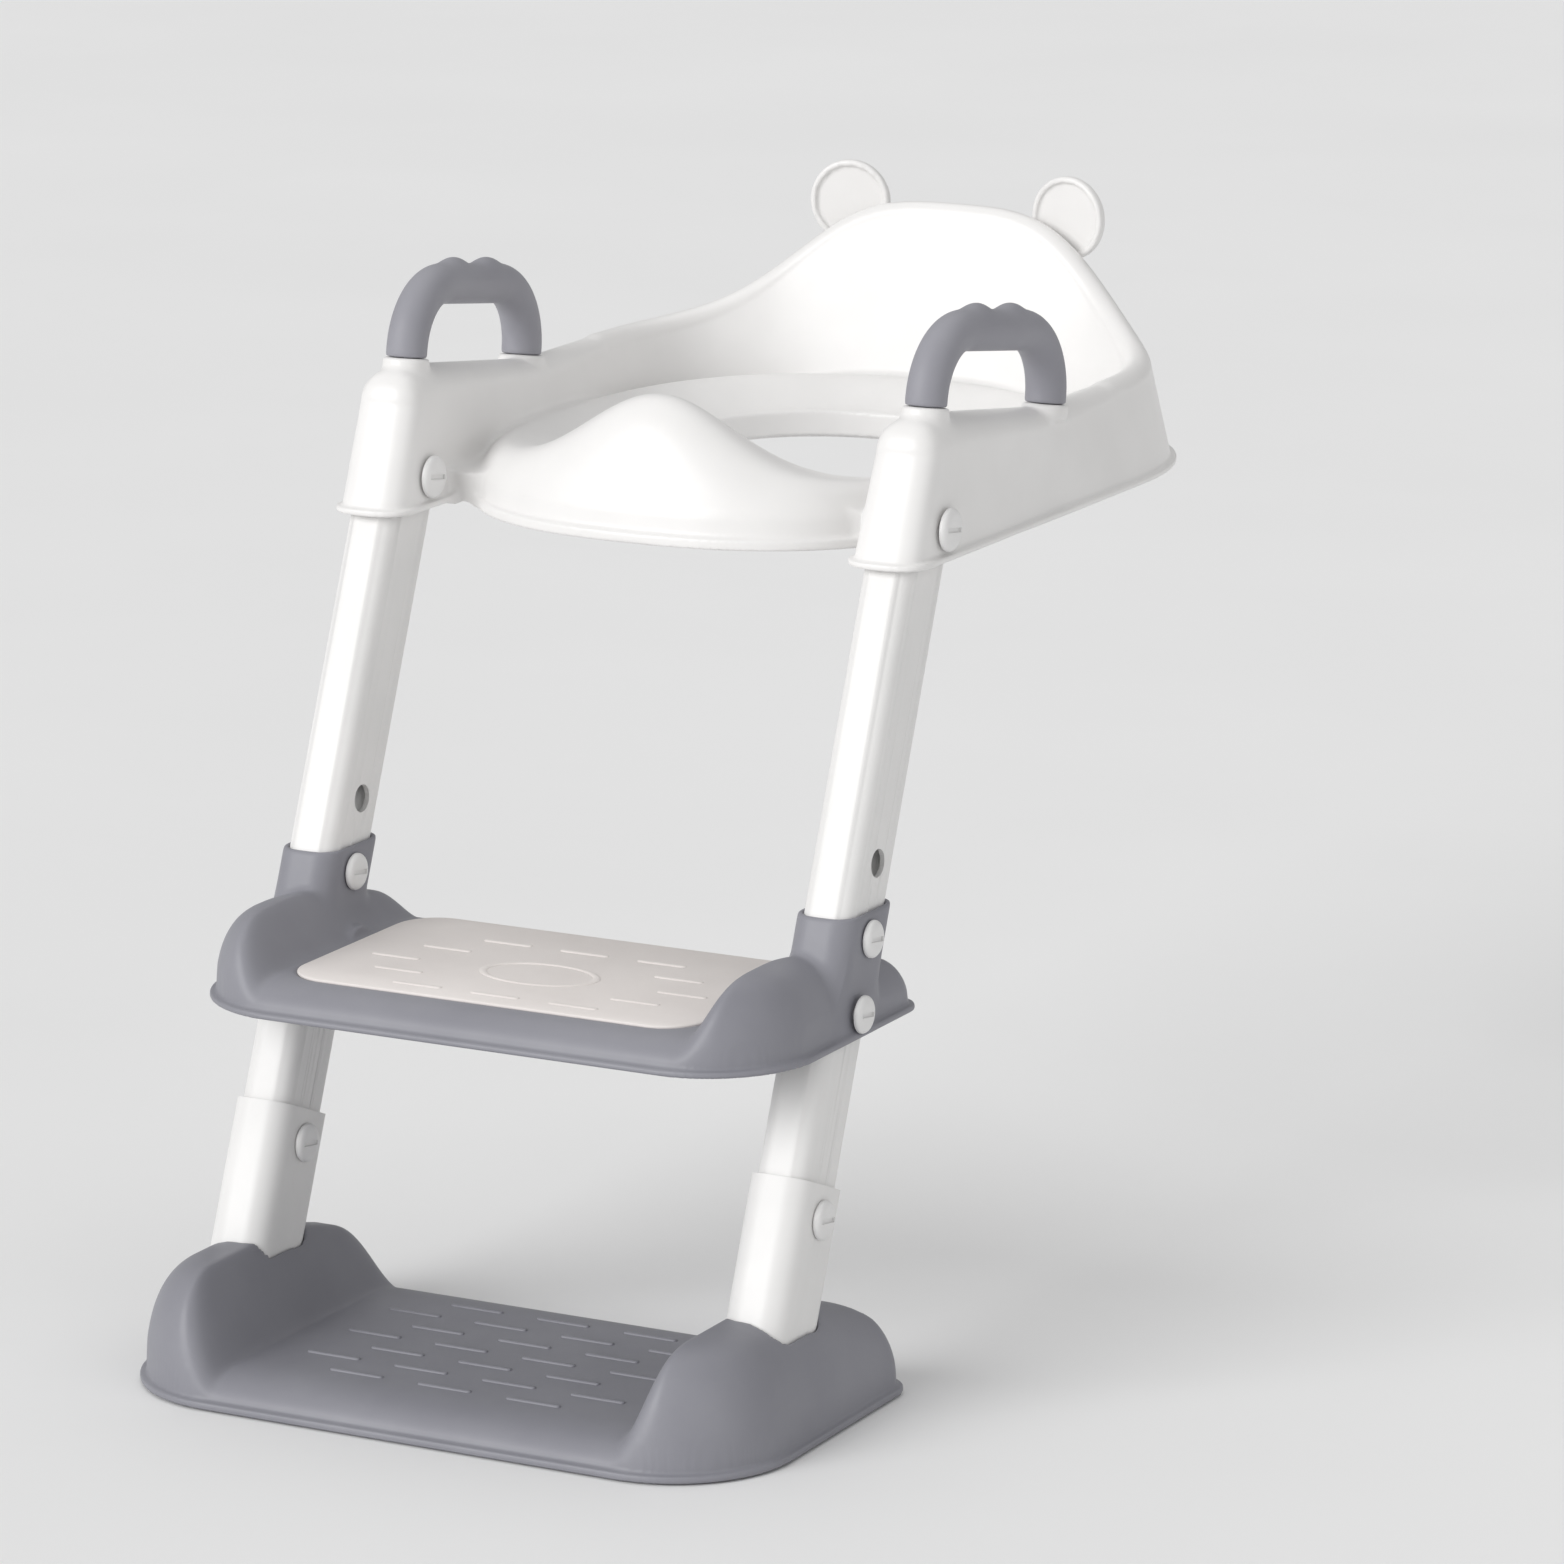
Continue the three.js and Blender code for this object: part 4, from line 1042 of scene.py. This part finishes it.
def moulded(name, dark, light, rough, grain, bump, specular=0.5, mottle=18):
    """Moulded plastic or rubber: cloudy colour, uneven gloss and a fine grain."""
    material = bpy.data.materials.new(name)
    material.use_nodes = True
    tree = material.node_tree
    shader = tree.nodes["Principled BSDF"]
    cloud = noise_node(tree, mottle, 4)
    ramp = ramp_node(tree, cloud.outputs["Fac"], [(0.3, dark), (0.7, light)])
    tree.links.new(ramp.outputs["Color"], shader.inputs["Base Color"])
    gloss = noise_node(tree, mottle * 3, 5, 0.6)
    spread = tree.nodes.new("ShaderNodeMapRange")
    spread.inputs["To Min"].default_value = rough[0]
    spread.inputs["To Max"].default_value = rough[1]
    tree.links.new(gloss.outputs["Fac"], spread.inputs["Value"])
    tree.links.new(spread.outputs["Result"], shader.inputs["Roughness"])
    fine = noise_node(tree, grain, 2)
    relief = tree.nodes.new("ShaderNodeBump")
    relief.inputs["Strength"].default_value = bump
    relief.inputs["Distance"].default_value = 0.0002
    tree.links.new(fine.outputs["Fac"], relief.inputs["Height"])
    tree.links.new(relief.outputs["Normal"], shader.inputs["Normal"])
    shader.inputs["Specular IOR Level"].default_value = specular
    return material


def steel(name):
    material = moulded(name, (0.5, 0.5, 0.51), (0.6, 0.6, 0.61), (0.25, 0.45), 900, 0.1)
    material.node_tree.nodes["Principled BSDF"].inputs["Metallic"].default_value = 1
    return material


# Dark and light colour, range of roughness, scale of the grain and strength of its relief.
LOOKS = {
    "white_plastic": ((0.80, 0.79, 0.78), (0.84, 0.83, 0.82), (0.3, 0.42), 1400, 0.05),
    "rail_plastic": ((0.78, 0.775, 0.765), (0.83, 0.82, 0.81), (0.34, 0.46), 1200, 0.06),
    "grey_plastic": ((0.235, 0.235, 0.265), (0.265, 0.265, 0.295), (0.42, 0.55), 1500, 0.25),
    "grip_rubber": ((0.28, 0.278, 0.31), (0.315, 0.313, 0.345), (0.5, 0.62), 1800, 0.3),
    "pad_soft": ((0.76, 0.715, 0.69), (0.81, 0.765, 0.74), (0.62, 0.75), 1600, 0.35),
    "bolt_plastic": ((0.78, 0.775, 0.77), (0.83, 0.825, 0.82), (0.3, 0.4), 1200, 0.05),
    "foot_rubber": ((0.02, 0.02, 0.022), (0.035, 0.035, 0.038), (0.7, 0.85), 1500, 0.4),
}
MATERIALS = {name: moulded(name, *look) for name, look in LOOKS.items()}
MATERIALS["screw_steel"] = steel("screw_steel")


def dress(obj, slot):
    obj.data.materials.clear()
    obj.data.materials.append(MATERIALS[slot])


def finish_piece(obj, body, node, slot):
    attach(obj, body)
    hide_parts(node)
    dress(obj, slot)
    return obj


# ---------- studio ----------
LOOK_AT = Vector((0.0681, -0.0379, 0.2945))
CAMERA_DISTANCE = 3.964
SENSOR = 36
LENS = 172.9
CAMERA_AZIMUTH = math.radians(27.6)
CAMERA_ELEVATION = math.radians(13.39)
FLOOR_HALF = 40000


def camera():
    data = bpy.data.cameras.new("camera")
    data.sensor_width = SENSOR
    data.lens = LENS
    obj = bpy.data.objects.new("camera", data)
    bpy.context.scene.collection.objects.link(obj)
    level = math.cos(CAMERA_ELEVATION)
    side, forward = math.sin(CAMERA_AZIMUTH), math.cos(CAMERA_AZIMUTH)
    back = Vector((level * side, -level * forward, math.sin(CAMERA_ELEVATION)))
    obj.location = LOOK_AT + back * CAMERA_DISTANCE
    obj.rotation_euler = back.to_track_quat("Z", "Y").to_euler()
    bpy.context.scene.camera = obj


def sun(name, direction, strength, softness):
    """A soft distant light that shines from direction."""
    data = bpy.data.lights.new(name, "SUN")
    data.energy = strength
    data.angle = math.radians(softness)
    obj = bpy.data.objects.new(name, data)
    bpy.context.scene.collection.objects.link(obj)
    obj.rotation_euler = Vector(direction).to_track_quat("Z", "Y").to_euler()


def studio():
    sun("key", (-0.45, -1.0, 0.5), 2.0, 40)
    sun("fill", (1.0, -0.35, 0.35), 0.45, 60)
    sun("top", (-0.1, 0.3, 1.0), 0.55, 60)
    world = bpy.data.worlds.new("studio")
    world.use_nodes = True
    world.node_tree.nodes["Background"].inputs["Color"].default_value = (1, 1, 1, 1)
    world.node_tree.nodes["Background"].inputs["Strength"].default_value = 0.4
    bpy.context.scene.world = world
    bpy.context.scene.view_settings.view_transform = "Standard"
    corners = [(x * FLOOR_HALF, y * FLOOR_HALF, 0) for x, y in ((-1, -1), (1, -1), (1, 1), (-1, 1))]
    floor = mesh_object("floor", corners, [(0, 1, 2, 3)], smooth=False)
    floor.data.materials.append(
        moulded("floor", (0.86, 0.86, 0.86), (0.88, 0.88, 0.88), (0.75, 0.85), 60, 0.02, mottle=2)
    )


# ---------- assembly ----------
camera()
studio()
base_step()
base_tread()
mid_step()
step_pad()
seat_shell()
for hand, side in SIDES.items():
    rail(hand)
    sleeve(hand)
    handle_grip(hand, side)
    fastener(f"{hand}_pivot_bolt", "ladder", SHANK_RADIUS, True)
    fastener(f"{hand}_pivot_nut", "ladder", BARREL_RADIUS, False)
    fastener(f"{hand}_step_upper_bolt", "step", SHANK_RADIUS, True)
    fastener(f"{hand}_step_upper_nut", "step", SHANK_RADIUS, False)
    fastener(f"{hand}_step_lower_bolt", "step", SHANK_RADIUS, True)
    fastener(f"{hand}_sleeve_bolt", "base", SHANK_RADIUS, True)
    fastener(f"{hand}_sleeve_nut", "base", SHANK_RADIUS, False)
    for end_name, end in (("front", -1), ("back", 1)):
        foot(f"{hand}_{end_name}_foot")
        screw(f"{hand}_handle_{end_name}_screw", side, end)
